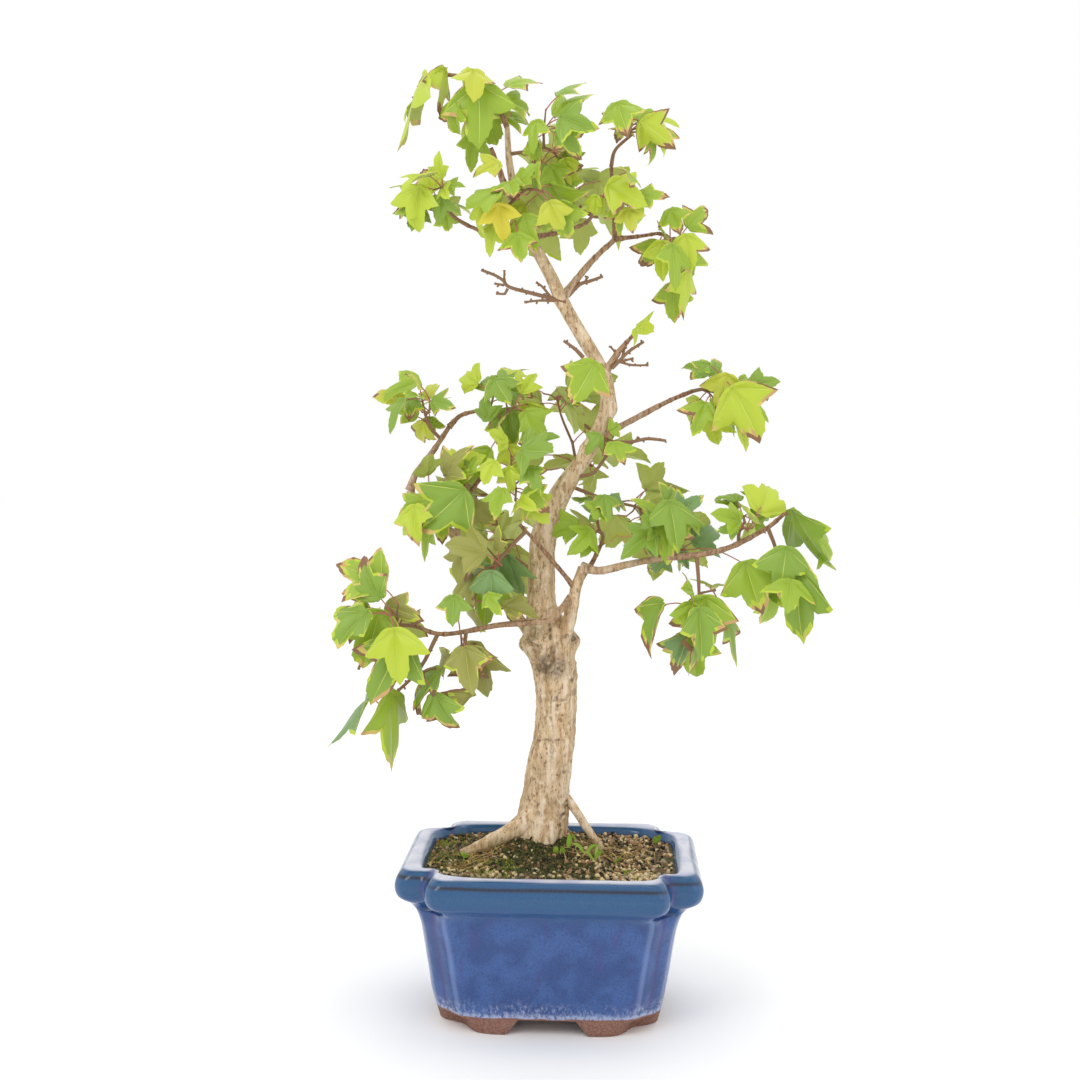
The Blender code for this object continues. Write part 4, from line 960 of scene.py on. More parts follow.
# %% Make the trunk
def make_trunk(material):
    """The trunk's tube with its relief, and the surface roots sunk into its foot."""
    rows = smooth_path(TRUNK, TRUNK_STEPS)
    path, height = rows[:, :3], rows[:, 2, None]
    angles = around(TRUNK_AROUND)
    level = np.clip((height - GROUND_CUT - 8) / 12, 0, 1)
    tangents = unit_rows(np.gradient(path, axis=0))
    tangents = tangents * level + np.array([0, 0, 1.0]) * (1 - level)
    one = unit_rows(np.cross((0.0, 1.0, 0.0), tangents))
    two = np.cross(tangents, one)
    radius = trunk_radius(rows, angles)
    ring = rings_round(path, radius, angles, one, two)
    relief = bark_relief(ring, angles + 0 * radius, radius, height + 0 * radius)
    relief = relief - STAIN_DEPTH * stained(ring.reshape(-1, 3)).reshape(radius.shape)
    ring = rings_round(path, radius + relief, angles, one, two)
    roots = [rough_tube(smooth_path(root, 14), 28, 0.35) for root in ROOTS.values()]
    points, faces = join([capped(ring, path[0], path[-1]), *roots])
    trunk = mesh_piece("trunk_bark", points, faces, [material])
    paint_points(trunk, "stain", stained(points))
    paint_points(trunk, "youth", np.zeros(len(points)))
    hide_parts("trunk")


def rough_tube(rows, sides, roughness):
    """A tube along rows of x, y, z, radius, with bark's relief on it."""
    angles = around(sides)
    path, radius = rows[:, :3], rows[:, 3, None] + 0 * angles
    rolled = np.stack([np.cos(angles) * radius, np.sin(angles) * radius,
                       run_along(path)[:, None] / 3 + 0 * radius], axis=-1) + path[0]
    relief = roughness * (0.6 * value_noise(rolled, 1.6, 51)
                          + 0.6 * value_noise(rolled, 4.5, 52))
    return tube(path, radius + relief * np.clip(radius / 3, 0.35, 1.2), sides)


# %% [markdown]
# Maple bark at this age is pale beige with a fine brown-grey grain that runs up the stem,
# greenish where it stays damp near the soil and dark under the burls. Young wood is redder.

# %% Bark
def maple_bark():
    """Beige mixed by noises drawn out up the stem, damp near the soil, dark where stained."""
    material = new_material("young_maple_bark", "#b79b7d", 0.85)
    tree = material.node_tree
    shader = tree.nodes["Principled BSDF"]
    grain = object_noise(tree, 1.5, 5.0, stretch=(1.0, 1.0, 3.2), roughness=0.7)
    fleck = object_noise(tree, 2.4, 3.0, stretch=(1.0, 1.0, 1.8), roughness=0.6)
    patch = object_noise(tree, 11.0, 3.0)
    column = object_noise(tree, 4.5, 2.0, stretch=(1.0, 1.0, 7.0))
    youth, stain = painted(tree, "youth"), painted(tree, "stain")
    wet = calc(tree, "ADD", height_mm(tree), calc(tree, "MULTIPLY", patch, 40.0))
    colour = colour_mix(tree, ramp(tree, patch, 0.35, 0.65), "#dcc09b", "#cbb08d")
    colour = layered(tree, colour, [
        (grain, 0.5, 0.62, 0.75, "#8f6c48"), (fleck, 0.58, 0.66, 0.75, "#694e33"),
        (fleck, 0.44, 0.34, 0.7, "#ecdcc0"), (column, 0.5, 0.66, 0.55, "#a98556"),
        (column, 0.48, 0.34, 0.6, "#ecdac2"), (wet, 132.0, 112.0, 0.7, "#8f8258")])
    colour = colour_mix(tree, calc(tree, "MULTIPLY", stain, 0.85), colour, "#4a3a28")
    young = colour_mix(tree, ramp(tree, grain, 0.42, 0.62), "#a3805f", "#6e4a38")
    colour = colour_mix(tree, youth, colour, young)
    tree.links.new(colour, shader.inputs["Base Color"])
    bump(tree, shader, grain, 0.5, 0.6)
    return material


BARK = maple_bark()
make_trunk(BARK)

# %% [markdown]
# ## The boughs
# Each bough is one tapering limb along a curve from the trunk to where its foliage begins.
# A collar swells where it leaves its parent, and buds have left small rings along it.

# %% The boughs
Limb = namedtuple("Limb", "name points root tip")     # root and tip are radii
LIMBS = [
    Limb("spur", [(3, 0, 222), (8, -6, 234), (13, -8, 257), (17, -9, 271)], 4.6, 2.7),
    Limb("right_low_bough", [(17, -9, 271), (29, -14, 270), (56, -22, 277), (96, -26, 283),
                             (122, -30, 296), (134, -32, 306)], 2.4, 1.2),
    Limb("left_low_bough", [(10, -7, 252), (4, -18, 246), (-4, -21, 240), (-31, -28, 238),
                            (-63, -34, 233), (-80, -38, 238)], 2.0, 1.2),
    Limb("left_mid_bough", [(-12, 5, 224), (-23, 4, 241), (-36, 7, 256), (-60, 12, 286),
                            (-84, 16, 304), (-90, 17, 315)], 3.4, 2.3),
    Limb("left_mid_rise", [(-90, 17, 315), (-86, 20, 326), (-77, 24, 338), (-67, 28, 354)],
         2.1, 1.5),
    Limb("left_mid_crown_bough", [(-67, 28, 354), (-60, 30, 361), (-50, 32, 364)], 1.4, 1.1),
    Limb("left_mid_side", [(-61, 12, 288), (-55, 3, 309), (-46, -4, 322)], 1.9, 1.2),
    Limb("front_twig", [(13, -8, 258), (2, -15, 272), (-8, -19, 284), (-20, -22, 297)],
         1.5, 1.0),
    Limb("broom", [(14, -8, 262), (22, 0, 272), (28, 6, 284)], 1.8, 1.2),
    Limb("mid_right_bough", [(27, 4, 349), (40, 10, 356), (66, 16, 370), (82, 20, 377)],
         2.1, 1.2),
    Limb("right_stub", [(29, 8, 388), (37, 4, 400), (44, 1, 408)], 2.2, 1.2),
    Limb("upper_right_bough", [(3, 8, 432), (19, 12, 453), (34, 16, 468)], 2.3, 1.6),
    Limb("upper_right_rise", [(34, 16, 468), (33, 14, 488), (31, 11, 510)], 1.3, 1.0),
    Limb("upper_right_side", [(34, 16, 468), (49, 18, 470), (60, 20, 472)], 1.3, 1.0),
    Limb("top_left_bough", [(-18, 4, 468), (-34, -5, 466), (-52, -10, 472)], 1.5, 1.1),
    Limb("top_left_twig", [(-31, 2, 532), (-38, 2, 545), (-55, 2, 560), (-74, 3, 563)], 1.3, 1.0),
    Limb("top_right_bough", [(-16, 8, 468), (3, 14, 472), (16, 22, 478)], 1.5, 1.0),
    Limb("dead_stub", [(-26, 5, 488), (-33, 0, 500), (-40, -3, 519)], 2.3, 1.2),
    Limb("back_bough", [(-4, 8, 302), (4, 30, 314), (10, 52, 322)], 2.6, 1.4),
    Limb("back_low_bough", [(-6, 8, 262), (-14, 32, 264), (-26, 54, 270)], 2.2, 1.3),
]
COLLAR, COLLAR_SWELL = 5.0, 0.45   # the swelling where a limb leaves its parent
BUD_STEP, BUD_SWELL = 9.0, 0.28    # the rings that buds have left
BOUGH_STEPS, BOUGH_SIDES = 14, 18


def limb_path(name, steps):
    """Points and radii along a limb or the trunk."""
    if name == "trunk":
        rows = smooth_path(TRUNK, steps)
        return rows[:, :3], rows[:, 3]
    limb = next(one for one in LIMBS if one.name == name)
    path = smooth_path(limb.points, steps)
    run = run_along(path)
    return path, limb.root + (limb.tip - limb.root) * run / run[-1]


def make_boughs(material):
    """Tapering tubes: radius + a collar that fades from the root + a small bell at each bud."""
    pieces, youth = [], []
    for limb in LIMBS:
        path, radii = limb_path(limb.name, BOUGH_STEPS)
        run = run_along(path)
        collar = COLLAR_SWELL * np.exp(-run / COLLAR) * radii
        ring = BUD_SWELL * np.exp(-((run % BUD_STEP - BUD_STEP / 2) / 0.7) ** 2)
        rows = np.column_stack([path, radii + collar + ring * (radii < 2.6)])
        pieces.append(rough_tube(rows, BOUGH_SIDES, 0.55))
        young = np.clip((2.9 - radii) / 1.6, 0, 1)
        youth.append(np.append(np.repeat(young, BOUGH_SIDES), [young[0], young[-1]]))
    points, faces = join(pieces)
    boughs = mesh_piece("bough_bark", points, faces, [material])
    paint_points(boughs, "youth", np.concatenate(youth))
    paint_points(boughs, "stain", stained(points) * (points[:, 2] < STAIN_TOP))
    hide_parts(*[limb.name for limb in LIMBS])


make_boughs(BARK)

# %% [markdown]
# ## Growth of the foliage
# A bough carries shoots, a shoot carries twigs, and each twig bears leaves in turn round its
# tip. Every mass of foliage is a place the light has opened: an ellipsoid with a stem that
# reaches for its middle. Twigs run to spread-out spots in it, each from the nearest point
# grown so far, and a leaf is tried up to forty times, turned and sized afresh, until it
# keeps clear of limbs and of other leaves and stays in its own mass's share of space.
#
# A point belongs to the mass with the smallest distance $|(p - c) / r|$, measured in the
# mass's own radii, so no two masses ever touch.

# %% Masses of foliage
# at is where the stem leaves its limb, as a share of its length; leaf is a blade's length
Mass = namedtuple("Mass", "name limb at centre radii twigs leaves leaf seed")
MASSES = [
    Mass("crown_high_left", "top_left_twig", 0.5, (-46, 2, 541), (32, 26, 24), 2, 7, 34, 4),
    Mass("crown_edge_leaf", "top_left_twig", 1.0, (-89, 2, 543), (12, 18, 24), 0, 2, 40, 101),
    Mass("crown_high_mid", "trunk", 0.965, (-2, -4, 520), (28, 26, 26), 2, 7, 27, 117),
    Mass("crown_high_right", "upper_right_rise", 1.0, (46, 6, 533), (23, 24, 17), 2, 7, 26, 27),
    Mass("crown_mid_right", "upper_right_rise", 0.45, (40, -12, 492), (22, 24, 17), 1, 5, 26, 10),
    Mass("crown_right", "upper_right_side", 1.0, (71, 14, 456), (21, 24, 32), 2, 7, 33, 160),
    Mass("crown_left", "top_left_bough", 1.0, (-73, -14, 491), (24, 24, 19), 2, 7, 24, 114),
    Mass("crown_front", "dead_stub", 0.35, (-24, -28, 482), (30, 22, 26), 3, 8, 29, 64),
    Mass("crown_back", "top_right_bough", 1.0, (2, 54, 500), (40, 30, 32), 2, 7, 32, 8),
    Mass("sprig", "right_stub", 1.0, (54, -4, 415), (14, 15, 12), 0, 1, 27, 17),
    Mass("trunk_leaf", "trunk", 0.63, (18, -18, 382), (22, 16, 18), 0, 1, 40, 176),
    Mass("mid_right_tuft", "mid_right_bough", 1.0, (105, 20, 375), (26, 24, 23), 2, 6, 31, 157),
    Mass("mid_left_top", "left_mid_rise", 0.8, (-84, 22, 366), (22, 22, 18), 2, 6, 24, 171),
    Mass("mid_left_crest", "left_mid_crown_bough", 1.0, (-34, 32, 364), (28, 26, 28), 3, 8, 28,
         41),
    Mass("mid_left_low", "left_mid_bough", 0.9, (-66, -6, 317), (30, 26, 30), 3, 8, 36, 104),
    Mass("mid_front", "left_mid_side", 1.0, (-20, -24, 326), (27, 22, 22), 2, 7, 27, 41),
    Mass("mid_left_under", "front_twig", 0.9, (-42, -22, 264), (25, 20, 30), 2, 7, 34, 49),
    Mass("trunk_right_tuft", "trunk", 0.50, (36, -8, 341), (18, 18, 15), 1, 3, 25, 141),
    Mass("right_inner", "broom", 1.0, (26, -4, 296), (21, 20, 18), 2, 5, 27, 58),
    Mass("right_mid", "right_low_bough", 0.42, (66, -12, 292), (28, 24, 22), 2, 7, 31, 121),
    Mass("right_outer", "right_low_bough", 0.75, (113, -22, 304), (21, 22, 18), 2, 6, 29, 109),
    Mass("right_tip", "right_low_bough", 1.0, (151, -34, 287), (15, 20, 26), 0, 2, 46, 106),
    Mass("right_hang", "right_low_bough", 0.9, (132, -32, 262), (18, 24, 34), 1, 4, 38, 173),
    Mass("right_low", "right_low_bough", 0.55, (86, -34, 245), (27, 24, 34), 2, 7, 42, 160),
    Mass("left_low_tip", "left_low_bough", 1.0, (-100, -42, 232), (30, 26, 35), 3, 9, 48, 18),
    Mass("left_low_drop", "left_low_bough", 0.86, (-108, -38, 180), (19, 18, 30), 0, 2, 42, 310),
    Mass("left_low_mid", "left_low_bough", 0.7, (-60, -36, 208), (26, 22, 36), 2, 6, 34, 48),
    Mass("back_high", "back_bough", 1.0, (8, 66, 352), (38, 28, 34), 2, 7, 30, 54),
    Mass("back_right", "back_bough", 0.75, (66, 56, 300), (34, 30, 30), 2, 7, 36, 16),
    Mass("back_low", "back_low_bough", 1.0, (-44, 66, 270), (38, 28, 34), 2, 7, 36, 90),
    Mass("bare_upper_left", "trunk", 0.757, (-32, 2, 440), (26, 16, 11), 4, 0, 0, 1),
    Mass("bare_upper_right", "upper_right_bough", 0.45, (26, 10, 440), (12, 12, 9), 1, 0, 0, 1),
    Mass("bare_stub", "right_stub", 0.55, (50, 6, 392), (12, 12, 9), 2, 0, 0, 1),
    Mass("bare_mid_right", "mid_right_bough", 0.2, (58, 4, 352), (14, 10, 8), 1, 0, 0, 1),
    Mass("bare_node_left", "trunk", 0.515, (8, -2, 356), (12, 12, 9), 1, 0, 0, 1),
]
REACH = 1.6                    # how far past its ellipsoid a mass may reach
NEARBY = 12.0                  # beyond that, limbs are too far off to matter
CELL_GAP = 0.05                # share of a radius left free along the border of two spaces
BURL_STAND, BURL_TOP = 4.0, 232    # room kept for the trunk's burls, and its height
STEM_RADIUS = 1.45
TWIG_RADIUS = 0.9
TWIG_LEAST = 4                 # mm, the shortest twig
TWIG_SPOTS = 14                # places drawn for a twig's tip, of which the loneliest is taken
STALK_WIDTH = 1.2
STALK_PAST = 0.03              # how far a stalk runs on under its blade, in blade lengths
BACK_FROM = 40                 # y from which leaves face the back
UP = np.array([0.0, 0.0, 1.0])
NODE_STEP = 1.8                # between the roots of two leaves on a twig
LIMB_MARGIN = 2.2              # from a blade's points to a limb's surface
TWIG_MARGIN = 1.0              # from a twig's axis to a limb's surface, beyond its own radius
BLADE_MARGIN = 3.0             # between the points of two blades
TRIES = 40                     # for one leaf, each turned and sized afresh
SPARE = 0.7                    # places tried beyond the solid's leaves, as a share of them
FEW = 2                        # a mass with no more leaves than this gets no others
LEAF_TURN = 2.4                # radians from one leaf to the next
TRY_SHRINK = 0.012             # how much smaller each try is
# outline of a blade for its clearances, in shares of its length: along, across
BLADE_EDGE = np.array([(0.0, 0.0), (0.03, 0.30), (0.56, 0.50), (0.50, 0.21), (1.0, 0.0),
                       (0.50, -0.21), (0.56, -0.50), (0.03, -0.30)])
BLADE_FINE = (BLADE_EDGE[:, None] + (np.roll(BLADE_EDGE, -1, axis=0) - BLADE_EDGE)[:, None]
              * np.array([0.0, 0.33, 0.67])[:, None]).reshape(-1, 2)
BLADE_MIDDLE = np.array([0.42, 0.0])
BLADE_SPOTS = np.concatenate([BLADE_MIDDLE + (BLADE_FINE - BLADE_MIDDLE) * share
                              for share in (1.0, 0.7, 0.4, 0.1)])

# %% [markdown]
# Foliage keeps clear of wood. Every stretch of trunk, bough and stem counts as a capsule, so
# the gap to a point is its distance from a line less a radius.

# %% Keeping clear
def bend(start, pull, end, count):
    """Quadratic curve from start to end, drawn towards pull: count points."""
    t = np.linspace(0, 1, count)[:, None]
    return (1 - t) ** 2 * start + 2 * t * (1 - t) * pull + t ** 2 * end


def segments_of(path, radii, owner):
    """A polyline as rows of start, end, the larger radius of the two, and owner."""
    return [(path[i], path[i + 1], max(radii[i], radii[i + 1]), owner)
            for i in range(len(path) - 1)]


class Obstacles:
    """Limbs and stems as capsules, and the distance of points to them."""

    def __init__(self, rows):
        start, end, radius, owner = zip(*rows)
        self.rows, self.start, self.owner = rows, np.array(start), np.array(owner)
        self.run, self.radius = np.array(end) - self.start, np.array(radius)
        self.square = np.maximum((self.run ** 2).sum(1), TINY)

    def around(self, mass):
        """Only the capsules that come near a mass, without its own stem."""
        reach = REACH * max(mass.radii) + NEARBY
        away = np.linalg.norm(self.start + self.run / 2 - np.array(mass.centre), axis=1)
        keep = (away < reach + np.sqrt(self.square) / 2 + self.radius) & (self.owner != mass.name)
        keep[0] = True
        return Obstacles([row for row, kept in zip(self.rows, keep) if kept])

    def clearance(self, points):
        """Least gap from the points to the capsules."""
        away = points[:, None] - self.start[None]
        along = np.clip((away * self.run).sum(2) / self.square, 0, 1)
        near = away - along[:, :, None] * self.run
        return (np.linalg.norm(near, axis=2) - self.radius).min()


def measure(points, mass):
    """Distance from the mass's middle, in shares of its radii."""
    return np.linalg.norm((points - np.array(mass.centre)) / np.array(mass.radii), axis=-1)


def in_space(points, mass):
    """True when the points belong to this mass and to no other."""
    own = measure(points, mass)
    others = np.min([measure(points, other) for other in MASSES if other is not mass], axis=0)
    return bool(np.all(own < REACH) and np.all(own < others - CELL_GAP))


# %% Stems and blades
def stem_path(mass):
    """The stem: from the axis of its limb towards the middle of the mass."""
    path, radii = limb_path(mass.limb, 8)
    run = run_along(path)
    start = place_at(path, run, mass.at * run[-1])
    index = min(int(np.searchsorted(run, mass.at * run[-1])), len(path) - 1)
    along = unit(path[index] - path[max(index - 1, 0)])
    aim = np.array(mass.centre, float) - start
    leave = unit(aim - along * np.dot(aim, along) * 0.75) if mass.at < 0.999 else along
    pull = start + leave * (radii[index] + 0.35 * np.linalg.norm(aim))
    return bend(start, pull, start + aim * 0.8, 3)


def blade_points(blade, along, across):
    """Places on a blade: a shallow V along the midrib, drooping to the tip and side lobes."""
    base, axis, side, normal, size, fold, droop = blade
    lift = fold * np.abs(across) - droop * along ** 2 - 0.5 * droop * across ** 2
    return (base + size * (along[..., None] * axis + across[..., None] * side
                           + lift[..., None] * normal))


def blade_samples(blade):
    """Points spread over a blade, for its clearances."""
    return blade_points(blade, *BLADE_SPOTS.T)


# %% [markdown]
# A leaf leaves its twig at a slant, on a stalk that droops more or less, and turns its face
# up and away from the tree. How much of each is drawn from the ranges below.

# %% Twigs and leaves of one mass
SPREADS, SWAYS = (25, 80), (-1.2, 1.2)     # degrees from the twig; radians of turn round it
SIZES, STALKS = (0.72, 1.22), (0.35, 0.7)  # of the mass's leaf length, and of the leaf's own
HANGS, OUTWARDS = (-0.1, 0.95), (0.5, 1.6)     # how far it droops, and faces away
FOLDS, DROOPS = (0.0, 0.35), (0.0, 0.3)    # bends along the midrib and across it


def grow_twigs(mass, rng, stem, obstacles):
    """Twigs to spread-out places in the mass, each from the nearest point grown so far."""
    nodes = [stem[1] * (1 - t) + stem[2] * t for t in (0.2, 0.55, 0.9)]
    tips, twigs = [], []
    for _ in range(mass.twigs):
        spots = [unit([rng.gauss(0, 1), rng.gauss(0, 1), rng.gauss(0.25, 1)])
                 * rng.uniform(0.3, 0.8) for _ in range(TWIG_SPOTS)]
        spot = max(spots, key=lambda spot: min([np.linalg.norm(spot - other) for other in tips]
                                               + [9.0]))
        tip = np.array(mass.centre, float) + spot * np.array(mass.radii, float)
        near = min(nodes, key=lambda node: np.linalg.norm(node - tip))
        lift = np.array([rng.uniform(-0.1, 0.1), rng.uniform(-0.1, 0.1), rng.uniform(-0.05, 0.2)])
        length = np.linalg.norm(tip - near)
        path = np.array([near, (near + tip) / 2 + lift * length, tip])
        if (length >= TWIG_LEAST and in_space(path[1:], mass)
                and obstacles.clearance(path[1:]) >= TWIG_MARGIN + TWIG_RADIUS):
            tips.append(spot)
            twigs.append(path)
            nodes += [path[1], (path[1] + path[2]) / 2]
    return twigs


def leaf_try(mass, rng, twig, place, turn, shrink):
    """One leaf: its stalk's path and its blade, turned round the twig near its tip."""
    ahead = unit(twig[-1] - twig[-2])
    tip = twig[-1] - ahead * (place * NODE_STEP)
    one = unit(np.cross(ahead, (0.13, 0.27, 0.95)))
    two = np.cross(ahead, one)
    spread = math.radians(rng.uniform(*SPREADS))
    turn = turn + rng.uniform(*SWAYS)
    out = ahead * math.cos(spread) + math.sin(spread) * (one * math.cos(turn)
                                                         + two * math.sin(turn))
    out = unit(out + UP * 0.25)
    size = mass.leaf * rng.uniform(*SIZES) * shrink
    stalk = size * rng.uniform(*STALKS)
    hang = rng.uniform(*HANGS)
    base = tip + stalk * unit(out - UP * (0.25 * hang))
    axis = unit(out * (1.0 - 0.8 * hang) - UP * hang)
    facing = 1.0 if mass.centre[1] > BACK_FROM else -1.0
    outward = np.array([0.6 * math.copysign(1, mass.centre[0]), facing, 0.0])
    up = (np.array([0.0, 0.0, 0.7]) + outward * rng.uniform(*OUTWARDS)
          + np.array([rng.uniform(-0.6, 0.6), rng.uniform(-0.4, 0.4), 0.0]))
    normal = unit(up - axis * np.dot(up, axis))
    side = np.cross(normal, axis)
    blade = (base, axis, side, normal, size, rng.uniform(*FOLDS), rng.uniform(*DROOPS))
    pull = (tip + base) / 2 + UP * (0.12 * stalk)
    return bend(tip, pull, base + axis * size * STALK_PAST, 3), blade


def grow_mass(mass, obstacles):
    """Twigs, leaf stalks and blades of one mass: every leaf that finds room in its space."""
    rng = random.Random(mass.seed)
    obstacles = obstacles.around(mass)
    stem = stem_path(mass)
    twigs = grow_twigs(mass, rng, stem, obstacles)
    carriers = twigs if twigs else [stem]
    stalks, blades, taken = [], [], []
    places = mass.leaves + (round(SPARE * mass.leaves) if mass.leaves > FEW else 0)
    for k in range(places):
        lap, twig = k // len(carriers), carriers[k % len(carriers)]
        turn = LEAF_TURN * k + math.pi * lap
        for attempt in range(TRIES):
            stalk, blade = leaf_try(mass, rng, twig, lap, turn, 1.0 - TRY_SHRINK * attempt)
            spots = blade_samples(blade)
            if (sound_joint(stalk, blade) and in_space(spots, mass) and in_space(stalk[1:], mass)
                    and obstacles.clearance(spots) >= LIMB_MARGIN
                    and obstacles.clearance(stalk[1:]) >= TWIG_MARGIN + STALK_WIDTH / 2
                    and (not taken or gap_between(spots, np.concatenate(taken)) >= BLADE_MARGIN)):
                taken.append(spots)
                stalks.append(stalk)
                blades.append(blade)
                break
    return stem, twigs, stalks, blades


def all_obstacles():
    """Trunk, boughs and every mass's stem, as capsules that foliage keeps clear of."""
    rows = []
    for name in ["trunk"] + [limb.name for limb in LIMBS]:
        path, radii = limb_path(name, 4)
        wide = radii + (BURL_STAND if name == "trunk" else 0.0) * (path[:, 2] < BURL_TOP)
        rows += segments_of(path, wide, name)
    for mass in MASSES:
        stem = stem_path(mass)
        rows += segments_of(stem, np.full(len(stem), STEM_RADIUS), mass.name)
    return Obstacles(rows)


def sound_joint(stalk, blade):
    """True when the stalk runs on into the blade without folding back or twisting over."""
    _, axis, side, normal = blade[:4]
    along = unit(stalk[-1] - stalk[0])
    across = unit(side - along * np.dot(side, along))
    return (np.dot(along, axis) > -0.25 and abs(np.dot(along, side)) < 0.7
            and np.dot(np.cross(along, across), normal) > 0.0)


def gap_between(one, other):
    """Least distance between two sets of points."""
    return np.linalg.norm(one[:, None] - other[None], axis=2).min()


# %% [markdown]
# The leaves that stand free of the rest decide how a tree reads against the light. They are
# set one by one, and leaves of the rule that would come close to them are left out. Each row
# gives the joint and the tip, how far the blade is rolled about its midrib from facing the
# front, how its halves fold, its colour and how far autumn has come in from its margin.

# %% Leaves that stand free
Lead = namedtuple("Lead", "joint tip roll fold colour wear")
LEADS = {
    "crown_edge_leaf": [((-80, -2, 561), (-97, -12, 515), 80, -0.2, "lime", 0.5),
        ((-68, -6, 564), (-68, -12, 533), -68, -0.2, "lime", 1.6)],
    "crown_high_left": [((-47, -16, 553), (-43, -22, 516), 0, 0.1, "fresh", 0.8),
        ((-55, -4, 553), (-42, 0, 573), 25, 0.3, "yellow_green", 0.8)],
    "crown_front": [((-34, -32, 482), (-30, -36, 461), 0, 0.2, "yellow", 0.3)],
    "crown_high_right": [((34, -6, 544), (41, -20, 525), 0, 0.1, "fresh", 1.0),
        ((48, -6, 534), (69, -2, 520), 20, -0.4, "lime", 1.6)],
    "crown_mid_right": [((29, -22, 494), (54, -26, 484), -15, 0.1, "lime", 1.0),
        ((41, -18, 482), (44, -22, 466), 0, 0.1, "yellow_green", 0.8)],
    "crown_right": [((66, 4, 484), (73, -2, 469), 0, 0.1, "fresh", 1.0),
        ((76, 2, 469), (78, -2, 447), 0, 0.15, "lime", 1.1),
        ((62, 0, 465), (61, -2, 441), -10, 0.1, "lime", 0.5),
        ((77, 6, 448), (76, 8, 420), -50, -0.2, "lime", 1.7)],
    "sprig": [((48, -2, 414), (56, -20, 411), 0, 0.1, "lime", 0.3)],
    "trunk_leaf": [((23, -22, 392), (9, -30, 367), 0, 0.12, "fresh", 0.9)],
    "mid_right_tuft": [((103, 12, 387), (97, 8, 363), 0, -0.2, "yellow_green", 1.2),
        ((105, 4, 379), (125, 2, 347), 10, 0.12, "lime", 1.0),
        ((92, 10, 393), (80, 6, 385), 50, 0.3, "middle", 0.5)],
    "mid_left_low": [((-53, -22, 317), (-80, -26, 289), -10, 0.1, "middle", 0.5)],
    "mid_left_crest": [((-38, 20, 383), (-30, 2, 369), 0, -0.1, "middle", 0.7)],
    "mid_left_under": [((-36, -32, 270), (-36, -34, 245), 10, 0.2, "blue_green", 0.3)],
    "right_low": [((88, -42, 258), (89, -46, 222), 0, 0.06, "fresh", 1.0),
        ((79, -34, 236), (73, -32, 209), -35, -0.3, "blue_green", 1.8)],
    "right_tip": [((138, -36, 308), (163, -38, 261), 70, 0.0, "middle", 0.3)],
    "right_hang": [((143, -38, 274), (137, -40, 228), 48, -0.1, "middle", 0.7),
        ((134, -44, 287), (130, -46, 257), 0, -0.1, "middle", 0.5)],
    "right_mid": [((112, -30, 277), (121, -36, 244), 5, 0.1, "fresh", 1.0),
        ((67, -22, 300), (69, -30, 277), 0, 0.1, "fresh", 0.9)],
    "left_low_tip": [((-99, -52, 248), (-106, -58, 212), 0, 0.15, "fresh", 0.9),
        ((-84, -60, 234), (-101, -66, 197), 0, 0.1, "middle", 1.0),
        ((-96, -44, 250), (-74, -46, 244), 0, -0.2, "olive", 1.0)],
    "left_low_drop": [((-94, -44, 200), (-90, -46, 153), -70, -0.1, "fresh", 0.5),
        ((-106, -38, 195), (-132, -36, 166), 78, 0.0, "blue_green", 0.5)],
    "left_low_mid": [((-63, -42, 213), (-82, -44, 190), 60, 0.2, "middle", 1.4),
        ((-46, -38, 199), (-69, -40, 177), -68, -0.3, "olive", 3.2),
        ((-46, -44, 227), (-42, -50, 208), 0, 0.1, "olive", 1.6),
        ((-57, -40, 256), (-57, -50, 239), 0, 0.1, "middle", 0.7)],
}
LEAD_GAP = 2.6                 # from a blade of the rule to one that stands free
FRONT = np.array([0.0, -1.0, 0.12])
# bare shoots, in full, each mass in a plane of one y: x and height along each shoot. The first
# of each leaves the trunk or bough, the rest are its forks
BARE = {
    "bare_upper_left": (5, [
        [(5, 429), (-6, 432), (-18, 435), (-29, 438), (-33, 442), (-38, 445), (-46, 448)],
        [(-31, 439), (-32, 443), (-32, 448)], [(-32, 439), (-38, 440)],
        [(-30, 437), (-32, 434), (-37, 434)], [(-4, 432), (-9, 438), (-13, 441)],
        [(-2, 430), (-11, 430), (-20, 429)]]),
    "bare_upper_right": (9, [
        [(6, 433), (13, 440), (19, 442), (27, 445)], [(16, 441), (18, 445)]]),
    "bare_stub": (4, [
        [(33, 390), (37, 394), (43, 400), (52, 406)], [(39, 396), (41, 403), (45, 410)],
        [(36, 394), (35, 399), (32, 403)], [(37, 394), (45, 392), (55, 392)],
        [(38, 394), (46, 396)]]),
    "bare_mid_right": (4, [
        [(26, 349), (34, 346), (45, 346), (55, 348), (66, 347)], [(47, 346), (50, 349)]]),
    "bare_node_left": (0, [
        [(16, 396), (11, 401), (4, 406)]]),
}


def lead_leaf(lead, carriers):
    """Stalk and blade of a leaf that stands free, its stalk from the nearest twig."""
    joint, tip = np.array(lead.joint, float), np.array(lead.tip, float)
    axis = unit(tip - joint)
    size = np.linalg.norm(tip - joint)
    normal = unit(FRONT - axis * np.dot(FRONT, axis))
    roll = math.radians(lead.roll)
    normal = normal * math.cos(roll) + np.cross(axis, normal) * math.sin(roll)
    spots = np.concatenate(carriers)
    start = spots[np.argmin(np.linalg.norm(spots - joint, axis=1))]
    pull = (start + joint) / 2 + UP * 0.2 * np.linalg.norm(joint - start)
    stalk = bend(start, pull, joint + axis * size * STALK_PAST, 3)
    return stalk, (joint, axis, np.cross(normal, axis), normal, size, lead.fold, 0.1)


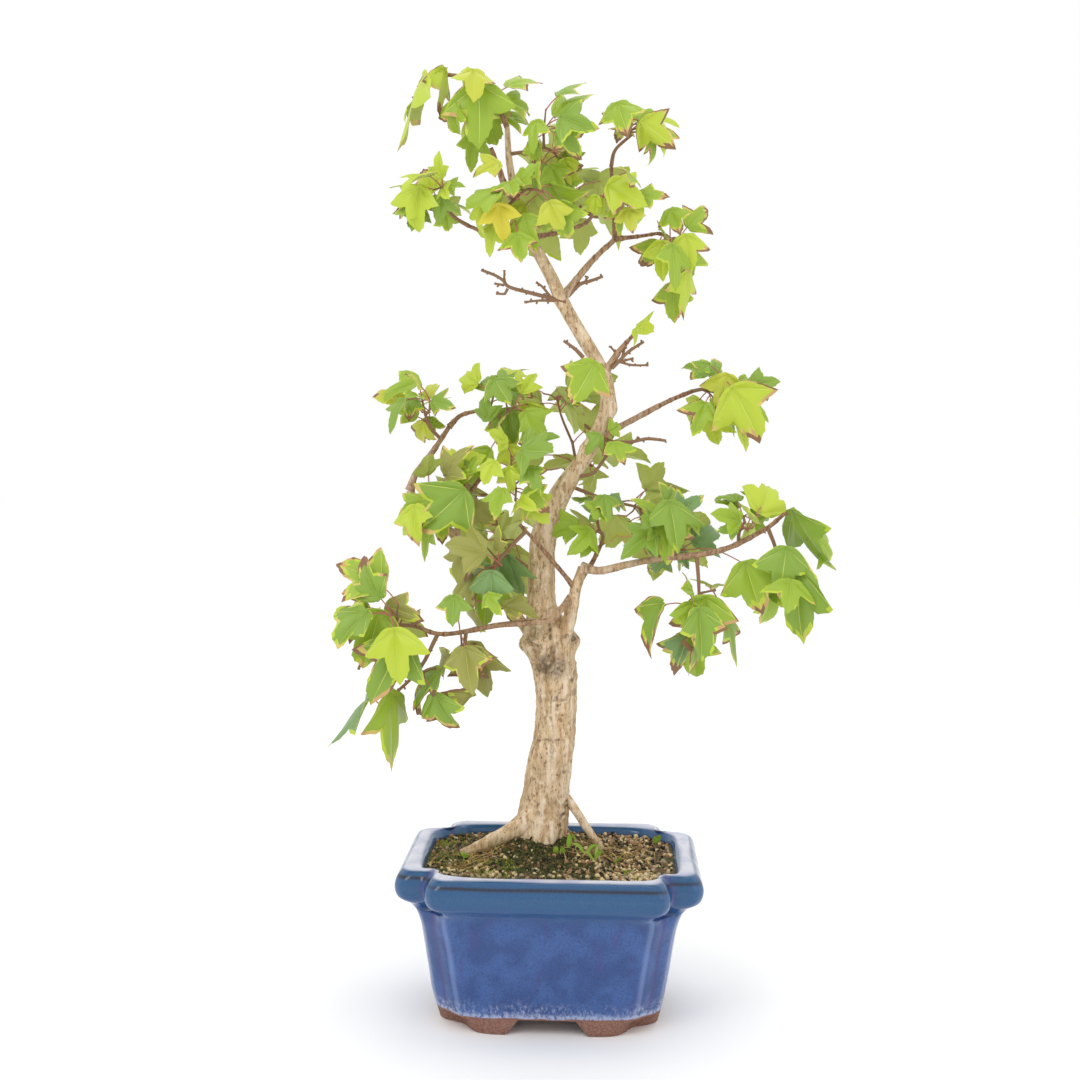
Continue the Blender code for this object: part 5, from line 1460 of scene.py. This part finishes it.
# %% Grow every mass
FINE_SHARE = 0.7               # side shoots added to a mass, as a share of its leaves
FINE_LENGTH = (4.0, 11.0)      # mm
FINE_MARGIN = 1.3              # between two blades on the finer shoots
FINE_TRIES = 30
FINE_SHRINK = 0.85             # size of their leaves, to that of the others
Growth = namedtuple("Growth", "stem twigs shoots leaves")     # a leaf is stalk, blade and Lead


def grow_finer(mass, obstacles):
    """The mass with its free leaves, and side shoots that each end in one leaf with room."""
    stem, twigs, stalks, blades = grow_mass(mass, obstacles)
    if mass.name in BARE:
        y, paths = BARE[mass.name]
        stem, *twigs = [np.insert(np.array(path, float), 1, y, axis=1) for path in paths]
    rng = random.Random(1000 + mass.seed)
    obstacles = obstacles.around(mass)
    leaves = [(stalk, blade, None) for stalk, blade in zip(stalks, blades)
              if gap_between(blade_samples(blade), LEAD_SPOTS) > LEAD_GAP]
    taken = [blade_samples(blade) for _, blade, _ in leaves] + [LEAD_SPOTS]
    shoots = []
    for _ in range(round(FINE_SHARE * mass.leaves) if mass.leaves > FEW else 0):
        for _ in range(FINE_TRIES):
            carrier = rng.choice(twigs + [stem]) if twigs else stem
            place = rng.uniform(0.3, 0.97) * (len(carrier) - 1)
            part = min(int(place), len(carrier) - 2)
            start = carrier[part] + (carrier[part + 1] - carrier[part]) * (place - part)
            ahead = unit(carrier[part + 1] - carrier[part])
            aim = unit(ahead * 0.5 + np.array([rng.gauss(0, 1), rng.gauss(0, 1),
                                               rng.gauss(0.3, 1)]))
            length = rng.uniform(*FINE_LENGTH)
            shoot = bend(start, start + (aim + ahead) * length * 0.3, start + aim * length, 3)
            stalk, blade = leaf_try(mass, rng, shoot, 0, rng.uniform(0, ROUND), FINE_SHRINK)
            spots = blade_samples(blade)
            line = np.concatenate([spots, stalk[1:], shoot[1:]])
            if (sound_joint(stalk, blade) and in_space(spots, mass)
                    and obstacles.clearance(line) >= TWIG_MARGIN
                    and gap_between(spots, np.concatenate(taken)) >= FINE_MARGIN):
                taken.append(spots)
                shoots.append(shoot)
                leaves.append((stalk, blade, None))
                break
    leads = [Lead(*row) for row in LEADS.get(mass.name, ())]
    leaves += [(*lead_leaf(lead, [stem[1:], *twigs]), lead) for lead in leads]
    return Growth(stem, twigs, shoots, leaves)


LEAD_SPOTS = np.concatenate([blade_samples(lead_leaf(Lead(*row), [np.zeros((1, 3))])[1])
                             for rows in LEADS.values() for row in rows])
LIMB_AXES = all_obstacles()
GROWN = {mass.name: grow_finer(mass, LIMB_AXES) for mass in MASSES}
print(sum(len(grown.leaves) for grown in GROWN.values()), "leaves,",
      sum(len(rows) for rows in LEADS.values()), "of them free")

# %% [markdown]
# ## Leaves
# The leaf of a trident maple has three lobes on a wedge-shaped base, with three main veins
# that part where the stalk joins. Its outline is seen whole from that joint, so the blade is
# a polar grid about it: rays to the rim, three of them the veins, and rings at shares of each
# ray. Between the veins the blade is quilted, its toothed rim waves, and the whole blade
# bends along and across like a strip of paper. Upper and lower skins meet in a knife edge.

# %% Leaf shape
# half of the outline, from the joint to the tip, in shares of the length: along, across
HALF_OUTLINE = [(0.0, 0.0), (-0.04, 0.07), (-0.02, 0.17), (0.06, 0.29), (0.17, 0.40),
                (0.29, 0.51), (0.42, 0.61), (0.47, 0.49), (0.49, 0.35), (0.49, 0.24),
                (0.60, 0.225), (0.73, 0.21), (0.85, 0.145), (0.93, 0.07), (1.0, 0.0)]
LOBE_TIP, SINUS = 6, 9         # rows of the outline
RIM_SHARES = (11, 4, 8)        # rim points from joint to lobe, lobe to sinus, sinus to tip
RINGS = np.array([0.0, 0.30, 0.58, 0.78, 0.90, 1.0])
VEIN_HALF = 0.011              # half width of a vein's strip near the joint
BLADE_HALF = 0.20              # half thickness at the joint, in mm
TOOTH = 0.030                  # how far a tooth stands out, in shares of the leaf's length
STRAIGHT = 0.05                # radians; a strip that turns less isn't bent
BOX_LOW, BOX_HIGH = ((np.array(corner) - POT_CENTRE) / MM for corner in (cad_low, cad_high))
DRAWN_IN = 0.96                # how much smaller a leaf that passes the box gets at each step
QUILT = 0.05                   # how high the blade bulges between veins, in leaf lengths
RIM_WAVES = ((0.045, 5), (0.018, 13))      # height of the rim's waves, and their rate
LOBES = (-0.14, 0.10)          # how much shorter or longer a lobe may be
ROLLS = (-0.2, 0.7), (-0.2, 1.3)           # radians across, for a free leaf and for another
CURLS = (-0.1, 0.3), (-0.1, 0.8)           # radians along, over those of its droop


def rim_outline():
    """Rim points of one half: each stretch of the outline cut into spans of equal length."""
    rows = np.array(HALF_OUTLINE)
    out = []
    for part, count in zip((rows[:LOBE_TIP + 1], rows[LOBE_TIP:SINUS + 1], rows[SINUS:]),
                           RIM_SHARES):
        path = smooth_path(part, 6)
        run = run_along(path)
        out.append(place_at(path, run, np.linspace(0, 1, count + 1)[:-1] * run[-1]))
    return np.concatenate(out + [rows[-1:]])


HALF = rim_outline()
RIM = np.concatenate([HALF[1:], HALF[-2:0:-1] * (1, -1)])
TIPS = (RIM_SHARES[0] - 1, len(HALF) - 2, len(RIM) - RIM_SHARES[0])
# the ray of each vein is there three times: its middle and the two sides of the strip
RIM = np.repeat(RIM, np.where(np.isin(np.arange(len(RIM)), TIPS), 3, 1), axis=0)
VEINS_AT = [TIPS[0] + 1, TIPS[1] + 3, TIPS[2] + 5]
RIM_ANGLE = np.arctan2(RIM[:, 1], RIM[:, 0])
VEIN_ANGLE = RIM_ANGLE[VEINS_AT[0]]
STRIP = np.zeros((len(RIM), 1))
STRIP[[at - 1 for at in VEINS_AT]], STRIP[[at + 1 for at in VEINS_AT]] = 1, -1

# %% [markdown]
# The flat grid becomes a leaf in four steps: teeth and uneven lobes move the rim, a quilt
# lifts the parts between veins, waves run round the rim, and two bends roll the whole.

# %% Surface of one leaf
def bent(along, lift, turn):
    """A strip bent to an arc of turn radians over its length: along and lift afterwards."""
    angle = turn * along
    if abs(turn) < STRAIGHT:
        reach, sink = along, 0.0
    else:
        reach, sink = np.sin(angle) / turn, (1 - np.cos(angle)) / turn
    return reach + lift * np.sin(angle), lift * np.cos(angle) - sink


def leaf_mesh(blade, rng, free):
    """Points of one leaf's two skins: a polar grid about the joint, quilted, waved and bent."""
    base, axis, side, normal, size, fold, droop = blade
    wave = rng.uniform(0, ROUND, 6)
    teeth = TOOTH * (np.arange(len(RIM)) % 2) * rng.uniform(0.2, 1.5, len(RIM)) - TOOTH / 2
    teeth = teeth * (np.abs(RIM_ANGLE) < 1.5)
    for at in VEINS_AT:
        teeth[at - 1:at + 2] = 0.02
    lobes = sum(rng.uniform(*LOBES) * np.exp(-((RIM_ANGLE - turn) / 0.3) ** 2)
                for turn in (VEIN_ANGLE, 0.0, -VEIN_ANGLE))
    stretch = 1 + 0.04 * np.sin(RIM_ANGLE * 6 + wave[4]) + lobes * (0.4 if free else 1.0)
    rim = RIM * (stretch + teeth)[:, None] * (1.0, rng.uniform(0.86, 1.0))
    strip = STRIP * np.column_stack([-rim[:, 1], rim[:, 0]])
    strip = strip / np.linalg.norm(rim, axis=1)[:, None] * VEIN_HALF
    share = RINGS[1:, None]
    grid = share[..., None] * rim[None] + (1 - 0.75 * share)[..., None] * strip[None]
    along, across = grid[..., 0], grid[..., 1]
    spread = np.abs(RIM_ANGLE)[None]
    off_vein = np.minimum(spread, np.abs(spread - VEIN_ANGLE)) / (VEIN_ANGLE / 2)
    quilt = QUILT * np.sin(np.clip(off_vein, 0, 1.4) * math.pi / 2) * np.sin(share * 2.6)
    long, short = (most * np.sin(RIM_ANGLE * rate + start)
                   for (most, rate), start in zip(RIM_WAVES, wave[2:4]))
    ripple = share ** 3 * (long * rng.uniform(0.3, 1.4) + short)
    lift = fold * np.abs(across) + quilt + ripple
    across, lift = bent(across, lift, rng.uniform(*ROLLS[0 if free else 1]))
    along, lift = bent(along, lift, 1.8 * droop + rng.uniform(*CURLS[0 if free else 1]))
    sway = rng.uniform(-0.10, 0.10) * along ** 2
    skin = (base + size * (along[..., None] * axis + (across + sway)[..., None] * side
                           + lift[..., None] * normal))
    outward = np.diff(np.concatenate([np.broadcast_to(base, skin[:1].shape), skin]), axis=0)
    off = np.cross(outward, np.roll(skin, -1, axis=1) - np.roll(skin, 1, axis=1))
    off = unit_rows(off)
    thick = BLADE_HALF * (1 - share ** 6)[..., None] * off * np.sign(np.sum(off * normal))
    upper = np.concatenate([[base + BLADE_HALF * normal], (skin + thick).reshape(-1, 3)])
    lower = np.concatenate([[base - BLADE_HALF * normal], (skin - thick)[:-1].reshape(-1, 3)])
    return shrink_into(np.concatenate([upper, lower]), base)


def shrink_into(points, base):
    """The leaf, drawn in towards its joint until it lies within the solid model's box."""
    for _ in range(20):
        if np.all(points > BOX_LOW) and np.all(points < BOX_HIGH):
            break
        points = base + (points - base) * DRAWN_IN
    return points


# %% Faces of a leaf
def leaf_faces():
    """Faces of a leaf's two skins, ring by ring, first above and then below; the rim is shared."""
    count, rings = len(RIM), len(RINGS) - 1
    ray = np.arange(count)
    following = (ray + 1) % count
    under = 1 + rings * count
    faces = []
    for ring in range(rings):
        outer = 1 + ring * count
        below = under + outer if ring < rings - 1 else outer
        if ring:
            inner = outer - count
            faces += [(inner + ray, inner + following, outer + following, outer + ray),
                      (under + inner + ray, below + ray, below + following,
                       under + inner + following)]
        else:
            faces += [(0 * ray, outer + following, outer + ray, outer + ray),
                      (0 * ray + under, below + ray, below + following, below + following)]
    return np.concatenate([np.stack(corners, -1) for corners in faces])


FACES = leaf_faces()
FACE_RING, FACE_BELOW, FACE_RAY = [index.ravel() for index in
                                   np.indices((len(RINGS) - 1, 2, len(RIM)))]
LEAF_POINTS = 2 + (2 * len(RINGS) - 3) * len(RIM)
AT_RIM = np.zeros(LEAF_POINTS, bool)
AT_RIM[1 + (len(RINGS) - 2) * len(RIM):1 + (len(RINGS) - 1) * len(RIM)] = True
print("one leaf:", len(FACES), "faces")

# %% [markdown]
# ## Leaf colours
# In autumn a maple turns unevenly. Each spray of leaves has its own greens, the margin goes
# yellow first, then tan, and the lobes' tips end brown. All are plain colours dealt out by
# spray and by how far a face lies from the joint. A leaf is waxy, so its roughness is 0.4,
# and more where it has dried.

# %% Leaf materials
LEAF_COLOURS = {"fresh": ("#96b22e", 0.42), "middle": ("#84a336", 0.42),
                "lime": ("#b7c936", 0.45), "yellow_green": ("#bdc43a", 0.45),
                "deep": ("#69882c", 0.40), "blue_green": ("#78995a", 0.40),
                "olive": ("#99984a", 0.50), "yellow": ("#d8cc3c", 0.50),
                "straw": ("#d2bf68", 0.55), "tan": ("#c9a06a", 0.60),
                "brown": ("#8a6645", 0.65), "vein": ("#ccd86c", 0.50),
                "underside": ("#b9c465", 0.55)}
LEAF_MATERIALS = [new_material("leaf_" + name, colour, rough_share)
                  for name, (colour, rough_share) in LEAF_COLOURS.items()]
SLOT = {name: index for index, name in enumerate(LEAF_COLOURS)}
# the colours of each spray's leaves, and how far autumn has come: 0 hardly, 1 all margins
SPRAYS = {"crown_high_left": ("fresh lime fresh yellow_green", 0.6),
          "crown_edge_leaf": ("lime", 0.8),
          "crown_high_mid": ("fresh lime middle fresh", 0.9),
          "crown_high_right": ("fresh lime", 1.0),
          "crown_mid_right": ("fresh lime", 0.8),
          "crown_right": ("lime fresh fresh", 1.0),
          "crown_left": ("fresh lime middle", 0.7),
          "crown_front": ("fresh yellow_green lime fresh", 0.8),
          "mid_right_tuft": ("middle lime fresh", 0.8),
          "mid_left_top": ("fresh middle yellow_green", 0.8),
          "mid_left_crest": ("middle fresh lime", 0.6),
          "mid_left_low": ("fresh lime olive", 0.8), "mid_front": ("lime middle fresh", 0.6),
          "mid_left_under": ("blue_green middle olive fresh", 0.6),
          "left_low_tip": ("fresh middle lime", 0.8), "left_low_mid": ("middle olive", 1.1),
          "right_low": ("fresh middle", 0.9), "right_inner": ("middle blue_green fresh", 0.5),
          "right_mid": ("fresh middle blue_green", 0.5),
          "right_outer": ("fresh middle lime", 0.5),
          "right_hang": ("fresh olive middle", 0.6), "right_tip": ("middle fresh", 0.4)}
PLAIN_SPRAY = ("fresh middle lime deep", 0.6)
TURNING = (("lime", 1.02), ("straw", 1.07), ("tan", 1.10), ("brown", 1.13))
TURN_STEP = 0.10               # how far inwards one unit of wear moves each colour
FACE_SHARE = (RINGS[FACE_RING] + RINGS[FACE_RING + 1]) / 2
FACE_TIP = 0.10 * np.exp(-(np.min([np.abs(FACE_RAY + 0.5 - at) for at in VEINS_AT], axis=0)
                           / 3.0) ** 2)
ON_VEIN = ((np.isin(FACE_RAY, VEINS_AT) | np.isin(FACE_RAY + 1, VEINS_AT))
           & (FACE_RING < len(RINGS) - 2) & (FACE_BELOW == 0))
WEARS = (0.0, 0.0, 0.4, 0.9, 1.3, 1.9)     # autumn comes to some leaves of a spray first


def patchy(pattern, across, inwards, seed):
    """Noise over a leaf's faces: place in it by ray and ring, a slice of it for each pattern."""
    layer = np.full(len(FACES), 9.0 * pattern)
    return value_noise(np.column_stack([FACE_RAY * across, FACE_RING * inwards, layer]), 1.0, seed)


PATCHES = [0.16 * patchy(k, 0.15, 0.3, k) + 0.06 * patchy(k, 0.5, 0.6, k + 50) for k in range(16)]


def leaf_slots(name, rng, lead):
    """Colour of each face: body, then the colours of autumn inwards from the rim, and veins."""
    choice, wear = SPRAYS.get(name, PLAIN_SPRAY)
    body, wear = rng.choice(choice.split()), wear * rng.choice(WEARS)
    if lead:
        body, wear = lead.colour, lead.wear
    slots = np.where(FACE_BELOW == 1, SLOT["underside"], SLOT[body])
    uneven = FACE_TIP + PATCHES[rng.integers(len(PATCHES))]
    age = FACE_SHARE + uneven * min(1.0, 0.3 + 0.6 * wear)
    for colour, limit in TURNING if body != "yellow" else TURNING[-1:]:
        slots[age > limit - TURN_STEP * wear] = SLOT[colour]
    slots[ON_VEIN & (age < 1.0 - TURN_STEP * wear)] = SLOT["vein"]
    return slots


# %% Make the leaves
REGIONS = {"crown_top": ("crown_high", "crown_edge"),
           "crown": ("crown_mid", "crown_right", "crown_left", "crown_front", "crown_back",
                     "sprig"),
           "middle": ("mid", "trunk"), "right": ("right",),
           "left_low": ("left_low",), "back": ("back",)}


def make_leaves(region, starts):
    """All leaves of one region as one piece."""
    names = [mass.name for mass in MASSES if mass.name.startswith(starts)]
    rng = np.random.default_rng(len(names) * 7 + len(region))
    points, faces, slots = [], [], []
    for name in names:
        for _, blade, lead in GROWN[name].leaves:
            faces.append(FACES + LEAF_POINTS * len(points))
            points.append(leaf_mesh(blade, rng, lead is not None))
            slots.append(leaf_slots(name, rng, lead))
    piece = mesh_piece("leaves_" + region, np.concatenate(points), np.concatenate(faces),
                       LEAF_MATERIALS, np.concatenate(slots),
                       sharp=np.tile(AT_RIM, len(points)))
    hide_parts(*names)


for region, starts in REGIONS.items():
    make_leaves(region, starts)

# %% [markdown]
# ## Twigs and stalks
# Each twig ends in a swollen bud, and a bare shoot carries short spurs, thick at the root and
# ending in a bud. Leaf stalks are thin, red, swollen at the root, and bend under the blade's
# weight.

# %% Twigs
SPUR_STEP, SPUR_START = 3.4, 3.0                   # mm along a bare shoot
SPUR_RADII = np.array([0.8, 0.55, 0.5, 0.62, 0.66, 0.2])
STEM_RADII, TWIG_RADII, SHOOT_RADII = (1.25, 0.85), (0.85, 0.6), (0.62, 0.45)    # root and tip
STALK_RADII = (0.42, 0.34)
BUD_SWOLLEN, STALK_SWOLLEN = 0.18, 0.25            # mm at a twig's tip, and at a stalk's root


def spurs(seed, shoots):
    """Short spurs on bare shoots, on alternate sides, each ending in a swollen bud."""
    rng = random.Random(seed)
    out = []
    for shoot in shoots:
        path = smooth_path(shoot, 8)
        run = run_along(path)
        ahead = unit(path[-1] - path[0])
        for count, length in enumerate(np.arange(SPUR_START, run[-1], SPUR_STEP)):
            side = unit(np.cross(ahead, (0.2, 1.0, 0.1))) * (-1) ** count
            reach = rng.uniform(1.4, 3.6)
            reach = (ahead * 0.6 + side + np.array([0, rng.gauss(0, 0.4), 0])) * reach * 0.6
            rows = place_at(path, run, length) + reach * np.linspace(0, 1, 6)[:, None]
            out.append(tube(rows, SPUR_RADII, 6))
    return out


def thinning(path, radii):
    """Radii that run evenly from root to tip."""
    return np.linspace(*radii, len(path))


def twig_tubes(mass):
    """Tubes of one mass's stem, twigs, shoots and spurs."""
    grown = GROWN[mass.name]
    path = smooth_path(grown.stem, 8)
    out = [rough_tube(np.column_stack([path, thinning(path, STEM_RADII)]), 10, 0.25)]
    for twig in grown.twigs:
        path = smooth_path(twig, 8)
        radii = thinning(path, TWIG_RADII)
        radii[-2:] += BUD_SWOLLEN
        out.append(rough_tube(np.column_stack([path, radii]), 8, 0.2))
    for shoot in grown.shoots:
        path = smooth_path(shoot, 4)
        out.append(tube(path, thinning(path, SHOOT_RADII), 6))
    return out + (spurs(mass.seed, [grown.stem, *grown.twigs]) if mass.leaves <= FEW else [])


def stalk_tubes(mass):
    """Tubes of one mass's leaf stalks."""
    out = []
    for stalk, _, _ in GROWN[mass.name].leaves:
        path = smooth_path(stalk, 5)
        radii = thinning(path, STALK_RADII)
        radii[0] += STALK_SWOLLEN
        out.append(tube(path, radii, 6))
    return out


for name, tubes, material in (
        ("twigs", twig_tubes, new_material("young_twig_bark", "#8c6a4d", 0.7)),
        ("leaf_stalks", stalk_tubes, new_material("leaf_stalk", "#b5705a", 0.5))):
    points, faces = join([piece for mass in MASSES for piece in tubes(mass)])
    piece = mesh_piece(name, points, faces, [material])
    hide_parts(*[mass.name for mass in MASSES])

# %% [markdown]
# ## Floor, light and camera
# A seamless pale floor and three large soft lamps, as in a product studio. The camera stands
# a metre away, a little above the middle of the tree, and looks slightly down.

# %% Studio
def lamp(name, place, aim, size, power):
    """A square area lamp at a place in metres, turned towards aim."""
    light = bpy.data.lights.new(name, "AREA")
    light.size = size
    light.energy = power
    obj = bpy.data.objects.new(name, light)
    obj.location = place
    obj.rotation_euler = (Vector(aim) - Vector(place)).to_track_quat("-Z", "Y").to_euler()
    bpy.context.scene.collection.objects.link(obj)


FLOOR_HALF = 6.0
floor_mesh = bpy.data.meshes.new("floor")
floor_mesh.from_pydata([(-FLOOR_HALF, -FLOOR_HALF, 0), (FLOOR_HALF, -FLOOR_HALF, 0),
                        (FLOOR_HALF, FLOOR_HALF, 0), (-FLOOR_HALF, FLOOR_HALF, 0)],
                       [], [(0, 1, 2, 3)])
floor_mesh.materials.append(new_material("matt_white_paper", "#ffffff", 1.0))
floor = bpy.data.objects.new("floor", floor_mesh)
bpy.context.scene.collection.objects.link(floor)
world = bpy.data.worlds.new("studio")
world.use_nodes = True
world.node_tree.nodes["Background"].inputs["Color"].default_value = (1.0, 1.0, 1.0, 1.0)
world.node_tree.nodes["Background"].inputs["Strength"].default_value = 1.0
bpy.context.scene.world = world
lamp("key", (-0.8, -1.2, 1.4), (0, 0, 0.3), 0.7, 5.5)
lamp("fill", (1.2, -1.0, 0.9), (0, 0, 0.3), 1.0, 1.5)
lamp("top", (0.1, 0.3, 1.7), (0, 0, 0.3), 1.0, 3.5)
bpy.context.scene.view_settings.view_transform = "Standard"

# %% Camera
FOCAL_SHARE = 1613 / 1080      # distance of the image plane, in image widths
CAMERA_PLACE = np.array([30.0, -969.0, 356.0]) * MM
YAW, PITCH, ROLL = math.radians(2.3), math.radians(4.1), math.radians(0.56)
SENSOR = 36.0

camera_data = bpy.data.cameras.new("camera")
camera_data.sensor_width = SENSOR
camera_data.lens = SENSOR * FOCAL_SHARE
camera = bpy.data.objects.new("camera", camera_data)
level = Vector((-math.sin(YAW), math.cos(YAW), 0))
right = Vector((math.cos(YAW), math.sin(YAW), 0))
ahead = level * math.cos(PITCH) - Vector((0, 0, math.sin(PITCH)))
over = level * math.sin(PITCH) + Vector((0, 0, math.cos(PITCH)))
axis_x = right * math.cos(ROLL) + over * math.sin(ROLL)
axis_y = over * math.cos(ROLL) - right * math.sin(ROLL)
turn = Matrix((axis_x, axis_y, -ahead)).transposed()
camera.matrix_world = Matrix.Translation(Vector(CAMERA_PLACE + POT_CENTRE)) @ turn.to_4x4()
bpy.context.scene.collection.objects.link(camera)
bpy.context.scene.camera = camera
